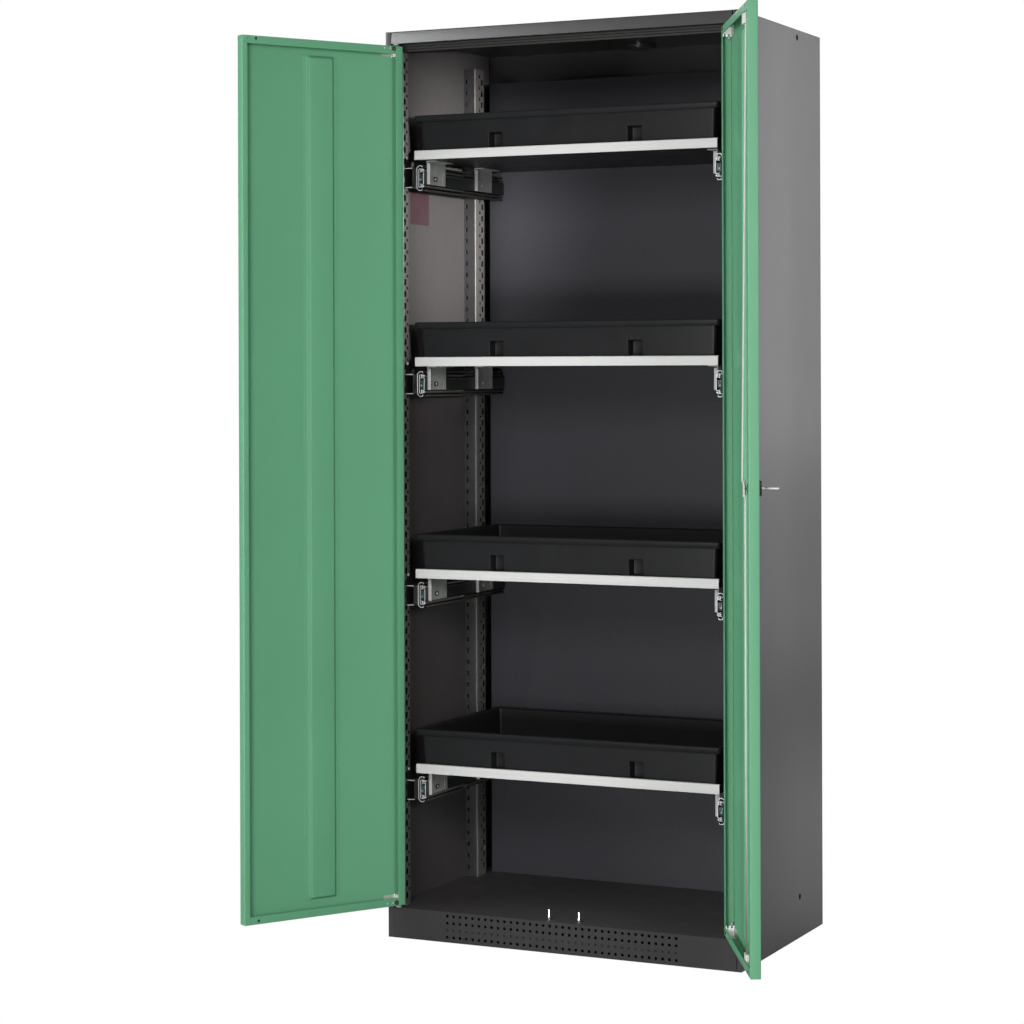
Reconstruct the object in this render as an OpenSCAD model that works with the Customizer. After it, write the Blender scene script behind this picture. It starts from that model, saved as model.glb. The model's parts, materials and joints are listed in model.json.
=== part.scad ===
// Two-door steel cabinet with four pull-out shelves on telescopic slides.
// Millimetres. Origin on the floor under the middle of the body, +Z up,
// the doors face -Y. "t" is a depth measured back from the front plane.

/* [Cabinet body] */
// Overall width of the body
cab_w = 810; // [760:5:1000]
// Overall depth of the body
cab_d = 510; // [505:1:560]
// Height of the body without the exhaust collar
cab_h = 1950; // [1900:1:2000]
// Thickness of the body's sheet steel
sheet = 1.2; // [0.8:0.1:1.6]
// Width of the narrow front flange on each side panel
flange_w = 12; // [12:0.5:13]
// Height of the plinth, and of the floor panel's top
plinth_h = 65; // [60:1:70]
// Height of the fascia above the doors
fascia_h = 26; // [24:1:30]
// Depth of the air duct between the inner and outer back walls
duct_d = 62; // [55:1:62]

/* [Plinth holes] */
// Columns of air holes
hole_cols = 36; // [10:1:40]
// Pitch of the air holes
hole_pitch = 15; // [12:0.5:15]
// Diameter of an air hole
hole_d = 6; // [3:0.5:6.5]

/* [Doors] */
// Opening of the left door as shown, degrees
open_left = 121.3; // [0:0.1:121.3]
// Opening of the right door as shown, degrees
open_right = 118; // [0:0.1:121.3]
// Thickness of a door pan
door_t = 21; // [20:0.5:21]
// Height of the door's lower edge above the floor
door_z0 = 71; // [71:0.5:73]
// Gap between a door and the side flange
door_gap = 3; // [3:0.5:4]
// Distance of the hinge axis from the door's hinge edge
piv_u = 8; // [8:0.1:8.4]
// Distance of the hinge axis behind the door's front face
piv_v = 6; // [6:0.1:6.2]
// Diameter of a hinge pin
pin_d = 5.5; // [5:0.1:5.6]

/* [Lock] */
// Distance of the lock from the right door's hinge edge
lock_u = 305; // [290:1:320]
// Height of the lock
lock_z = 993; // [950:1:1050]
// Distance of a rod pin from the lock's axis
cam_r = 12; // [10:0.5:12]
// Width of the lock housing
lock_w = 27; // [24:0.5:28]

/* [Drawers] */
// Height of the top of each front strip, from the upper drawer down
drawer_z = [1694.6, 1249.5, 793, 373];
// Width of a front strip
strip_w = 697; // [690:1:698]
// Height of a front strip
strip_h = 20; // [16:1:22]
// Height of a tray's rim above the front strip
rim_up = 75; // [60:1:80]
// Depth of the front strips behind the front plane
strip_t = 24.5; // [24.5:0.5:28]
// Length of the telescopic slides
slide_l = 400; // [380:5:400]

/* [Uprights] */
// Pitch of the slots in the uprights
slot_pitch = 26; // [24:1:30]
// Depth of an upright, from the side panel's face
upright_x = 29.5; // [25:0.5:29.5]

/* [Exhaust] */
// Outside diameter of the exhaust collar
collar_d = 75; // [70:1:80]
// Height of the exhaust collar above the top panel
collar_h = 45; // [30:1:45]

/* [Hidden] */
$fn = 48;
hw = cab_w / 2;
hd = cab_d / 2;
hi = hw - sheet;                       // inner face of a side panel
fx = hw - flange_w;                    // inner edge of a side flange
top_z = cab_h - fascia_h;              // lower edge of the fascia
door_z1 = top_z - 6;                   // door's upper edge
door_w = fx - door_gap - 2;            // each door stops 2 mm short of the middle
pivot_x = fx - door_gap - piv_u;
duct_t = cab_d - duct_d;               // front face of the inner back wall
duct_x = hi - upright_x - 0.3;
slide_t = 45;                          // front end of the slides
slide_x = 353.8;                       // outer face of the slides
slide_dz = -58;                        // slides' middle, under the strip's top
lip_top = 17;
lip_hinge = 18;
lip_free = 12.5;
bush_r = 4.2;
collar_t = 455;
charcoal = [0.24, 0.24, 0.235];
inner_dark = [0.17, 0.15, 0.16];
green = [0.33, 0.57, 0.42];
strip_col = [0.86, 0.87, 0.85];
zinc = [0.72, 0.72, 0.70];
black = [0.13, 0.13, 0.14];

// a box from its two corners; depth given as t behind the front plane
module bx(x0, x1, t0, t1, z0, z1)
    translate([x0, t0 - hd, z0]) cube([x1 - x0, t1 - t0, z1 - z0]);
// a Y-Z outline, given as [t, z], pushed along X
module along_x(x0, x1)
    translate([x0, -hd, 0]) rotate([90, 0, 90]) linear_extrude(x1 - x0) children();
// an X-Z outline pushed back along Y, from depth t0 to t1
module along_y(t0, t1)
    translate([0, t1 - hd, 0]) rotate([90, 0, 0]) linear_extrude(t1 - t0) children();
module both_sides() { children(); mirror([1, 0, 0]) children(); }
// a door's own frame: x from the hinge edge, y inward from its front, z up
module door_frame(right) {
    mirror([right ? 1 : 0, 0, 0])
    translate([-pivot_x, piv_v - hd, 0])
    rotate([0, 0, right ? -open_right : -open_left])
    translate([-piv_u, -piv_v, 0]) children();
}
module dbox(u0, u1, v0, v1, z0, z1)
    translate([u0, v0, z0]) cube([u1 - u0, v1 - v0, z1 - z0]);
// a cylinder across a door, from v0 to v1
module dcyl(u, z, v0, v1, r)
    translate([u, v0, z]) rotate([-90, 0, 0]) cylinder(h = v1 - v0, r = r);

/* ---- body ---- */
module side_sheet(holes) {
    difference() {
        union() {
            bx(-hw, -hi, 0, cab_d, 0, cab_h);
            bx(-hi, -fx, 0, sheet, 0, cab_h);
            bx(-fx - sheet, -fx, sheet, 20, 0, cab_h - sheet);
        }
        if (holes) for (z = [88, 1933])
            translate([-hw - 1, 358 - hd, z]) rotate([0, 90, 0]) cylinder(h = 5, r = 6.5);
    }
}
module side_panel_left() { color(charcoal) side_sheet(false); }
module side_panel_right() { color(charcoal) mirror([1, 0, 0]) side_sheet(true); }
module back_panel() { color(charcoal) bx(-hi, hi, cab_d - sheet, cab_d, 0, cab_h); }
module top_panel() {
    color(charcoal) difference() {
        union() {
            bx(-fx, fx, 0, sheet, top_z, cab_h);
            bx(-hi, hi, sheet, cab_d - sheet, cab_h - sheet, cab_h);
        }
        translate([0, collar_t - hd, cab_h - 5]) cylinder(h = 10, r = collar_d / 2 - 1.2);
    }
}
// the rail steps down and back three times behind the doors' upper edge
module door_stop_rail() {
    rt = 24.5; st = 8; sz = 4.5;
    color(inner_dark) difference() {
        along_x(-fx + 0.2 + sheet, fx - 0.2 - sheet) union() {
            translate([sheet, top_z]) square([rt + sheet - sheet, sheet]);
            for (i = [0:2]) {
                translate([rt + i * st, top_z - (i + 1) * sz]) square([sheet, sz + sheet]);
                translate([rt + i * st, top_z - (i + 1) * sz]) square([st + sheet, sheet]);
            }
            translate([rt + 3 * st, top_z - 3 * sz]) square([sheet, cab_h - sheet - top_z + 3 * sz]);
        }
        bx(fx - door_gap - lock_u - 17, fx - door_gap - lock_u - 3, 9.5, 18, top_z - 1, top_z + 4);
    }
}
module floor_panel() {
    color(inner_dark) difference() {
        bx(-hi, hi, sheet, cab_d - sheet, plinth_h - sheet, plinth_h);
        bx(-fx - sheet - 0.1, -fx + 0.1, 0, 20.1, plinth_h - 2, plinth_h + 1);
        bx(fx - 0.1, fx + sheet + 0.1, 0, 20.1, plinth_h - 2, plinth_h + 1);
        bx(fx - door_gap - lock_u + 3, fx - door_gap - lock_u + 17, 11, 20, plinth_h - 2, plinth_h + 1);
    }
}
module plinth_front() {
    color(charcoal) translate([0, sheet - hd, 0]) rotate([90, 0, 0]) linear_extrude(sheet)
    difference() {
        translate([-fx, 0]) square([2 * fx, plinth_h]);
        for (i = [0:hole_cols - 1], j = [0:3])
            translate([(i - (hole_cols - 1) / 2) * hole_pitch, 11.2 + j * 15]) circle(d = hole_d, $fn = 24);
    }
}
module base_frame() {
    rx0 = hi - 28; rx1 = hi - 3;
    color(charcoal) union() {
        both_sides() difference() {
            bx(rx0, rx1, 26, cab_d - 10, 0, 40);
            bx(rx0 + 2, rx1 - 2, 25, cab_d - 9, 2, 38);
        }
        for (t = [cab_d / 2 - 12.5, cab_d - 40]) difference() {
            bx(-rx0, rx0, t, t + 25, 0, 40);
            bx(-rx0 - 1, rx0 + 1, t + 2, t + 23, 2, 38);
        }
        bx(-fx + 0.5, fx - 0.5, sheet + 0.4, 26, 20, 32);
    }
}
module rear_duct_panel() {
    color(inner_dark) difference() {
        union() {
            bx(-duct_x, duct_x, duct_t, duct_t + sheet, plinth_h, 1880);
            both_sides() bx(duct_x - sheet, duct_x, duct_t + sheet, cab_d - sheet, plinth_h, 1880);
        }
        for (zs = drawer_z, x = [-270:90:270])
            bx(x - 30, x + 30, duct_t - 1, duct_t + 3, zs + 20, zs + 27);
    }
}
// slotted channel: face toward the inside, two legs back to the side panel
module upright(t0, t1, t_long, t_short) {
    z0 = plinth_h; z1 = 1908; n = floor((z1 - z0 - 20) / slot_pitch);
    translate([-hi + upright_x - 1.5, 0, 0]) rotate([90, 0, 90]) linear_extrude(1.5) difference() {
        translate([t0 - hd, z0]) square([t1 - t0, z1 - z0]);
        for (i = [0:n - 1]) {
            translate([t_long - hd - 4.5, z0 + 14 + i * slot_pitch]) square([9, 14]);
            translate([t_short - hd - 3.5, z0 + 30 + i * slot_pitch]) square([7, 8]);
        }
    }
    for (t = [t0, t1 - 1.5]) difference() {
        bx(-hi, -hi + upright_x - 1.5, t, t + 1.5, z0, z1);
        if (t == t0 && t0 > 200) for (i = [0:n - 1])
            bx(-399.8, -395.4, t - 1, t + 3, z0 + 16 + i * slot_pitch, z0 + 26 + i * slot_pitch);
    }
}
module uprights() {
    color([0.34, 0.33, 0.32]) both_sides() {
        upright(25, 47, 30.5, 40);
        upright(376, 422, 410, 398);
    }
}
module exhaust_collar() {
    r = collar_d / 2;
    color(zinc) translate([0, collar_t - hd, cab_h]) difference() {
        union() { cylinder(h = collar_h, r = r, $fn = 96); cylinder(h = 1.5, r = r + 9, $fn = 96); }
        translate([0, 0, -1]) cylinder(h = collar_h + 2, r = r - 1.2, $fn = 96);
    }
}
module stop_pins() {
    color(zinc) for (x = [-34.5, 34.5]) translate([x, strip_t - hd, plinth_h]) {
        cylinder(h = 22, d = 5);
        translate([0, 0, 3.5]) cylinder(h = 1.6, d = 11);
    }
}
module hinge_pins() {
    color(zinc) for (s = [-1, 1]) translate([s * pivot_x, piv_v - hd, 0]) {
        translate([0, 0, plinth_h]) cylinder(h = 33, d = pin_d);
        translate([0, 0, plinth_h]) cylinder(h = 3, r = 6);
        translate([0, 0, top_z - 33]) cylinder(h = 33, d = pin_d);
        translate([0, 0, top_z - 3]) cylinder(h = 3, r = 6);
    }
}
module label_plate() {
    color([0.42, 0.26, 0.31]) bx(-hi, -hi + 0.5, 108, 200, 1542, 1668);
}

/* ---- slides ---- */
// members as X-Z outlines: x from the cabinet side inward, z about the middle
module outer_outline() {
    square_c(0, 1.5, -27.5, 27.5);
    for (m = [0, 1]) mirror([0, m]) {
        square_c(0, 14, 26, 27.5);
        square_c(12.6, 14, 23.2, 27.5);
    }
}
module middle_outline() {
    square_c(4.6, 6, -20.5, 20.5);
    for (m = [0, 1]) mirror([0, m]) {
        square_c(4.6, 15.4, 19.1, 20.5);
        square_c(14, 15.4, 17, 20.5);
    }
}
module inner_outline() {
    square_c(16.1, 17.5, -14.5, 14.5);
    for (m = [0, 1]) mirror([0, m]) {
        square_c(8.2, 17.5, 13.1, 14.5);
        square_c(8.2, 9.6, 11.2, 14.5);
    }
}
module square_c(x0, x1, z0, z1) translate([x0, z0]) square([x1 - x0, z1 - z0]);
module slide_pair(zs, dt = 0)
    both_sides() translate([-slide_x, 0, zs + slide_dz]) along_y(slide_t + dt, slide_t + slide_l) children();
module slide_outer_members() {
    color([0.30, 0.31, 0.31]) for (zs = drawer_z) slide_pair(zs) outer_outline();
}
module slide_spacers() {
    color(black) for (zs = drawer_z) both_sides() for (t = [28, 382]) {
        z0 = zs + slide_dz - 21.5;
        difference() {
            bx(-hi + upright_x, -slide_x, t, t + 40, z0, z0 + 43);
            bx(-hi + upright_x + 2, -slide_x - 2, t - 1, t + 41, z0 + 2, z0 + 41);
        }
    }
}
module upright_screws() {
    color(zinc) for (zs = drawer_z) both_sides() for (t = [36, 388])
        translate([-hi + upright_x, t - hd, zs - 14]) rotate([0, 90, 0]) {
            cylinder(h = 1.8, r = 3.4);
            translate([0, 0, 1.8]) cylinder(h = 0.9, r1 = 3.4, r2 = 2);
        }
}

/* ---- drawers ---- */
module shelf(i) {
    zs = drawer_z[i]; x = strip_w / 2 - 2; z0 = zs - strip_h;
    color(black) union() {
        bx(-x, x, strip_t + 2, 432, z0, z0 + 1.5);
        both_sides() bx(x - 1.5, x, strip_t + 2, 432, z0, z0 + 17);
        bx(-x, x, 430.5, 432, z0, z0 + 17);
        bx(-x, x, strip_t + 2, strip_t + 3.5, z0, z0 + 17);
    }
}
module front_strip(i) {
    zs = drawer_z[i]; x = strip_w / 2;
    color(strip_col) along_x(-x, x) {
        translate([strip_t, zs - strip_h]) square([2, strip_h]);
        translate([strip_t, zs - 2]) square([7, 2]);
    }
}
// a rounded rectangle as a thin slab, the hull's building stone
module slab(x, t0, t1, z, r)
    translate([0, 0, z]) linear_extrude(0.4) offset(r = r, $fn = 24)
        translate([r - x, t0 + r - hd]) square([2 * (x - r), t1 - t0 - 2 * r]);
module tray(i) {
    zs = drawer_z[i]; z0 = zs - strip_h + 1.5; z1 = zs + rim_up;
    rx = strip_w / 2 + 2.5; t0 = strip_t - 0.5; t1 = 430;
    lip = 10; th = 3; tap = 6; nw = 15.5; nd = 30; nh = zs + 33;
    color(black) difference() {
        union() {
            hull() { slab(rx - lip - tap, t0 + lip + tap, t1 - lip - tap, z0, 5); slab(rx - lip, t0 + lip, t1 - lip, z1 - 0.4, 7); }
            tray_rim(rx, t0, t1, z1 - 13.5, z1);
        }
        // the inside, with the two notches' walls left standing in it
        difference() {
            hull() { slab(rx - lip - tap - th, t0 + lip + tap + th, t1 - lip - tap - th, z0 + th, 4); slab(rx - lip - th, t0 + lip + th, t1 - lip - th, z1, 5); }
            for (x = [-160, 160]) bx(x - nw - th, x + nw + th, t0, t0 + lip + nd + th, z0, nh + th);
        }
        // the notches, open to the front and below
        for (x = [-160, 160]) bx(x - nw, x + nw, t0 - 1, t0 + lip + nd, z0 - 1, nh);
    }
}
// the rim is turned down all round, and leans in a little toward its lower edge
module tray_rim(rx, t0, t1, z0, z1) difference() {
    hull() { slab(rx - 2, t0 + 2, t1 - 2, z0, 6); slab(rx, t0, t1, z1 - 0.4, 8); }
    hull() { slab(rx - 5, t0 + 5, t1 - 5, z0 - 1, 3); slab(rx - 3, t0 + 3, t1 - 3, z1 - 2.9, 5); }
}
module shelf_brackets(i) {
    zs = drawer_z[i]; z1 = zs - strip_h; xb = slide_x - 17.5;
    color(zinc) both_sides() for (t = [57, 291]) difference() {
        union() {
            bx(-xb, -xb + 2, t, t + 88, z1 - 51, z1);
            bx(-xb, -xb + 22, t, t + 88, z1 - 2, z1);
            bx(-xb, -xb + 9, t, t + 2, z1 - 51, z1);
        }
        translate([-xb - 1, t + 38 - hd, z1 - 38]) rotate([0, 90, 0]) cylinder(h = 5, r = 4.5);
        bx(-xb - 1, -xb + 4, t + 70, t + 75, z1 - 44, z1 - 31);
    }
}
module slide_inner(i) { color(zinc) slide_pair(drawer_z[i]) inner_outline(); }
module slide_middle(i) { color([0.45, 0.46, 0.46]) slide_pair(drawer_z[i]) middle_outline(); }

/* ---- doors ---- */
// the pan: the outer sheet, and the edges folded in from it with their lips
module door_pan(right) {
    color(green) door_frame(right) difference() {
        dbox(0, door_w, 0, sheet, door_z0, door_z1);
        if (right) dcyl(lock_u, lock_z, -1, 3, 9.2);
    }
}
module door_edge(right) {
    z0 = door_z0; z1 = door_z1; w = door_w; T = door_t;
    color(green) door_frame(right) difference() {
        dbox(0, w, sheet, T, z0, z1);
        dbox(sheet, w - sheet, sheet - 1, T - sheet, z0 + sheet, z1 - sheet);
        dbox(lip_hinge, w - lip_free, 0, T + 1, z0 + lip_top, z1 - lip_top);
        translate([piv_u, piv_v, z0 - 1]) cylinder(h = 4, r = bush_r + 0.1);
        translate([piv_u, piv_v, z1 - 3]) cylinder(h = 4, r = bush_r + 0.1);
        if (right) {
            dbox(lock_u + 3, lock_u + 17, 10, 17, z1 - 3, z1 + 1);
            dbox(lock_u - 17, lock_u - 3, 12, 18.2, z0 - 1, z0 + 3);
        }
    }
}
module stiffener(right) {
    m = door_w / 2;
    color(green) door_frame(right) translate([m, sheet, 103]) linear_extrude(1785)
        polygon([[-42, 0], [-42, 1], [-31, 1], [-28, 7.8], [28, 7.8], [31, 1], [42, 1], [42, 0],
            [30.2, 0], [27.2, 6.8], [-27.2, 6.8], [-30.2, 0]]);
}
// the bracket, from the end of the door inward: a plate under the folded edge for the
// bush, a leg riveted to the skin, and a notched leg that stands across the pan
module hinge_bracket() difference() {
    union() {
        dbox(sheet, 44, sheet, door_t - sheet, sheet, 3.2);
        dbox(18.5, 44, sheet, 3.2, 3.2, 21);
        dbox(16.5, 18.5, sheet, door_t - sheet, 3.2, 23);
        dcyl(40.5, 17.6, 3.2, 4.3, 2);
    }
    translate([piv_u, piv_v, -1]) cylinder(h = 6, r = bush_r);
    dbox(16, 19, 14.1, 17.6, 17, 24);
    dbox(16, 19, 5, 9.4, 18, 24);
}
module hinge_brackets(right) {
    color(zinc) door_frame(right) {
        translate([0, 0, door_z0]) hinge_bracket();
        translate([0, 0, door_z1]) mirror([0, 0, 1]) hinge_bracket();
    }
}
module bush() difference() {
    union() { cylinder(h = 19, r = bush_r); translate([0, 0, -2.7]) cylinder(h = 2.7, r = 6); }
    translate([0, 0, -4]) cylinder(h = 25, d = pin_d + 0.1);
}
module hinge_bushes(right) {
    color(black) door_frame(right) translate([piv_u, piv_v, 0]) {
        translate([0, 0, door_z0]) bush();
        translate([0, 0, door_z1]) mirror([0, 0, 1]) bush();
    }
}
module buffers(right) {
    color(black) door_frame(right) for (z = [door_z0 + 7.3, door_z1 - 6]) {
        dcyl(355.5, z, door_t, door_t + 0.7, 3);
        dcyl(22.5, z, door_t, door_t + 1.1, 5.2);
    }
}
/* ---- lock, in the right door's frame ---- */
module rod_guides() {
    color([0.88, 0.88, 0.86]) door_frame(true) {
        difference() {
            dbox(lock_u - 3, lock_u + 23, 11, door_t - sheet, 1882, 1906.5);
            dbox(lock_u + 4.2, lock_u + 15.8, 12.1, 16.1, 1880, 1909);
        }
        difference() {
            dbox(lock_u - 23, lock_u + 3, 11.8, 18, door_z0 + sheet, 99);
            dbox(lock_u - 15.8, lock_u - 4.2, 13.5, 16.9, 70, 107);
        }
    }
}
module lock_housing() {
    h = lock_w / 2; hz = h + 1;
    color(black) door_frame(true) difference() {
        union() {
            // the outer block, with rounded corners
            dbox(lock_u - h, lock_u + h, -14, 0, lock_z - hz + 3, lock_z + hz - 3);
            dbox(lock_u - h + 3, lock_u + h - 3, -14, 0, lock_z - hz, lock_z + hz);
            for (x = [-1, 1], z = [-1, 1]) dcyl(lock_u + x * (h - 3), lock_z + z * (hz - 3), -14, 0, 3);
            dcyl(lock_u, lock_z, -1, 12.6, 9);
            dcyl(lock_u, lock_z, sheet, 5, 13);
        }
        dcyl(lock_u, lock_z, -15, 14, 6.05);
    }
}
module lock_cylinder() {
    color(zinc) door_frame(true) difference() {
        union() {
            dcyl(lock_u, lock_z, -14.8, 13, 6);
            dcyl(lock_u, lock_z, 12, 16.6, 2.6);
            dcyl(lock_u, lock_z, 19, 20.4, 2.6);
        }
        // keyway
        dbox(lock_u - 4.2, lock_u + 4.2, -17, 5, lock_z - 1.3, lock_z + 1.3);
    }
}
// arms a quarter turn apart from level, so the turn lifts one rod and lowers the other
module lock_cam() {
    k = cam_r * cos(45);
    color(zinc) door_frame(true) union() {
        translate([lock_u, 16.6, lock_z]) rotate([-90, 0, 0]) linear_extrude(2.4) {
            circle(6.2);
            rotate(45) translate([-cam_r, -3.4]) square([2 * cam_r, 6.8]);
            for (s = [-1, 1]) translate([s * k, s * k]) circle(3.4);
        }
        dcyl(lock_u + k, lock_z - k, 18, 21.8, 2.2);
        dcyl(lock_u - k, lock_z + k, 13.8, 17.5, 2.2);
    }
}
// blade in the keyway, a neck, and a flat bow
module key() {
    color(zinc) door_frame(true) union() {
        dbox(lock_u - 4, lock_u + 4, -16.4, 4.6, lock_z - 1.1, lock_z + 1.1);
        dcyl(lock_u, lock_z, -22.5, -16.4, 2.2);
        dbox(lock_u - 3.5, lock_u + 3.5, -24.6, -22.4, lock_z - 1.1, lock_z + 1.1);
        translate([lock_u, 0, lock_z - 1.1]) difference() {
            translate([-11, -48.8, 0]) cube([22, 24.4, 2.2]);
            translate([0, -43.5, -1]) cylinder(h = 5, r = 3);
        }
    }
}
// flat bars; each foot has a level slot for its cam pin, which leaves room for the pin's arc
module rod_upper() {
    k = cam_r * cos(45); z0 = lock_z - k - 7; z1 = z0 + 938;
    color(zinc) door_frame(true) difference() {
        union() {
            // foot, step, and the bar that leans back to its guide
            translate([lock_u + 5, 0, 0]) rotate([90, 0, 90]) linear_extrude(10)
                polygon([[19.4, z0], [21.6, z0], [21.6, lock_z + 7.5], [24.6, lock_z + 15],
                    [14.5, z1], [12.3, z1], [22.4, lock_z + 15.6], [19.4, lock_z + 8.1]]);
            dbox(lock_u + 3.4, lock_u + 17.5, 19.4, 21.6, z0, z0 + 14);
        }
        dbox(lock_u + 5.4, lock_u + 14.7, 18, 23, lock_z - k - 2.75, lock_z - k + 2.75);
    }
}
module rod_lower() {
    k = cam_r * cos(45);
    color(zinc) door_frame(true) difference() {
        union() {
            dbox(lock_u - 15, lock_u - 5, 14.1, 16.3, 73.5, lock_z + k + 7);
            dbox(lock_u - 17.5, lock_u - 3.4, 14.1, 16.3, lock_z + k - 7, lock_z + k + 7);
        }
        dbox(lock_u - 14.7, lock_u - 5.4, 12, 18, lock_z + k - 2.75, lock_z + k + 2.75);
    }
}

side_panel_left();
side_panel_right();
back_panel();
top_panel();
door_stop_rail();
floor_panel();
plinth_front();
base_frame();
rear_duct_panel();
uprights();
exhaust_collar();
stop_pins();
hinge_pins();
label_plate();
slide_spacers();
slide_outer_members();
upright_screws();
shelf(0);  // shelf_1
front_strip(0);  // front_strip_1
tray(0);  // tray_1
shelf_brackets(0);  // shelf_brackets_1
slide_inner(0);  // slide_inner_1
slide_middle(0);  // slide_middle_1
shelf(1);  // shelf_2
front_strip(1);  // front_strip_2
tray(1);  // tray_2
shelf_brackets(1);  // shelf_brackets_2
slide_inner(1);  // slide_inner_2
slide_middle(1);  // slide_middle_2
shelf(2);  // shelf_3
front_strip(2);  // front_strip_3
tray(2);  // tray_3
shelf_brackets(2);  // shelf_brackets_3
slide_inner(2);  // slide_inner_3
slide_middle(2);  // slide_middle_3
shelf(3);  // shelf_4
front_strip(3);  // front_strip_4
tray(3);  // tray_4
shelf_brackets(3);  // shelf_brackets_4
slide_inner(3);  // slide_inner_4
slide_middle(3);  // slide_middle_4
door_pan(false);  // door_left
door_edge(false);  // door_edge_left
stiffener(false);  // stiffener_left
hinge_brackets(false);  // hinge_brackets_left
hinge_bushes(false);  // hinge_bushes_left
buffers(false);  // buffers_left
door_pan(true);  // door_right
door_edge(true);  // door_edge_right
stiffener(true);  // stiffener_right
hinge_brackets(true);  // hinge_brackets_right
hinge_bushes(true);  // hinge_bushes_right
buffers(true);  // buffers_right
rod_guides();
lock_housing();
lock_cylinder();
lock_cam();
key();
rod_upper();
rod_lower();
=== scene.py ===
import bpy, bmesh, json, math
from mathutils import Matrix, Vector
from mathutils.geometry import delaunay_2d_cdt

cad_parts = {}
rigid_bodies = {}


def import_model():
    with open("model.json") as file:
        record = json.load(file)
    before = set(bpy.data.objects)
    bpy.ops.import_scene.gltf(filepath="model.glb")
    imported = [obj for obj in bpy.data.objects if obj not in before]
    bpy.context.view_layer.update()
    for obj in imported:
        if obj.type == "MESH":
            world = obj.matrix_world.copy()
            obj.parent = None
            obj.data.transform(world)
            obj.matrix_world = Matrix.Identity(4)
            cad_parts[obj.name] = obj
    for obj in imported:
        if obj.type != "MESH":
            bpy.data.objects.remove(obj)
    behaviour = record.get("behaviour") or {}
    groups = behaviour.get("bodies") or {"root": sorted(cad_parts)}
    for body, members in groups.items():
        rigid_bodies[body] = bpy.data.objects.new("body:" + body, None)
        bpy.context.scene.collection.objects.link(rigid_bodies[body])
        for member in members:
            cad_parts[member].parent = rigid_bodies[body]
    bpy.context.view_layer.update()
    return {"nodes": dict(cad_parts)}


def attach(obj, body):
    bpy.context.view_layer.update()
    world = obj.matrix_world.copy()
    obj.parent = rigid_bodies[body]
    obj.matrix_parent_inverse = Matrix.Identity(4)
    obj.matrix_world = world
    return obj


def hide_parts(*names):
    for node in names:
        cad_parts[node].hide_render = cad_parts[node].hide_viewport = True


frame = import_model()
scene = bpy.context.scene
NODES = frame["nodes"]
MM = 0.001

# ---- sizes of the cabinet in millimetres, as in the frame ----
HW, HI, FX = 405.0, 403.8, 393.0          # half width, inner face, inner edge of the side flange
DEP, HGT, SH = 510.0, 1950.0, 1.2
TOPZ, PLZ = 1924.0, 65.0
HD = DEP / 2
DRAWER_Z = [1694.6, 1249.5, 793.0, 373.0]
DW, DT, DZ0, DZ1 = 388.0, 21.0, 71.0, 1918.0
PU, PV, PX = 8.0, 6.0, 382.0
OPEN_L, OPEN_R = 121.3, 118.0
LU, LZ = 305.0, 993.0
SLIDE_X, SLIDE_DZ, SLIDE_T, SLIDE_L = 353.8, -58.0, 45.0, 400.0


# =====================================================================
# camera and light
# =====================================================================
def make_camera():
    yaw, roll = math.radians(25.40255), math.radians(-0.18561)
    right = Vector((math.cos(yaw), math.sin(yaw), 0))
    fwd = Vector((-math.sin(yaw), math.cos(yaw), 0))
    up = Vector((0, 0, 1))
    c, s = math.cos(roll), math.sin(roll)
    r2, u2, b = right * c + up * s, up * c - right * s, -fwd
    cd = bpy.data.cameras.new("camera")
    cd.sensor_fit = "HORIZONTAL"
    cd.sensor_width = 36.0
    cd.lens = 2611.976 * 36.0 / 1024.0
    cd.shift_x = 0.0
    cd.shift_y = (368.80 - 512.0) / 1024.0
    cd.clip_start, cd.clip_end = 0.1, 100
    cam = bpy.data.objects.new("camera", cd)
    scene.collection.objects.link(cam)
    m = Matrix.Identity(4)
    for i in range(3):
        m[i][0], m[i][1], m[i][2] = r2[i], u2[i], b[i]
    m[0][3], m[1][3], m[2][3] = 2.2561, -5.2275, 1.2236
    cam.matrix_world = m
    scene.camera = cam


def area(name, loc, target, size, power, color=(1, 1, 1), size_y=None):
    ld = bpy.data.lights.new(name, "AREA")
    ld.shape = "RECTANGLE"
    ld.size, ld.size_y = size, size_y or size
    ld.energy = power
    ld.color = color
    o = bpy.data.objects.new(name, ld)
    scene.collection.objects.link(o)
    o.location = loc
    o.rotation_euler = (Vector(target) - Vector(loc)).to_track_quat("-Z", "Y").to_euler()
    return o


def spot(name, loc, target, cone, power, narrow=1.0):
    ld = bpy.data.lights.new(name, "SPOT")
    ld.spot_size = math.radians(cone)
    ld.spot_blend = 0.8
    ld.shadow_soft_size = 0.12
    ld.energy = power
    o = bpy.data.objects.new(name, ld)
    scene.collection.objects.link(o)
    o.location = loc
    o.rotation_euler = (Vector(target) - Vector(loc)).to_track_quat("-Z", "Y").to_euler()
    o.scale = (narrow, 1, 1)
    return o


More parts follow.
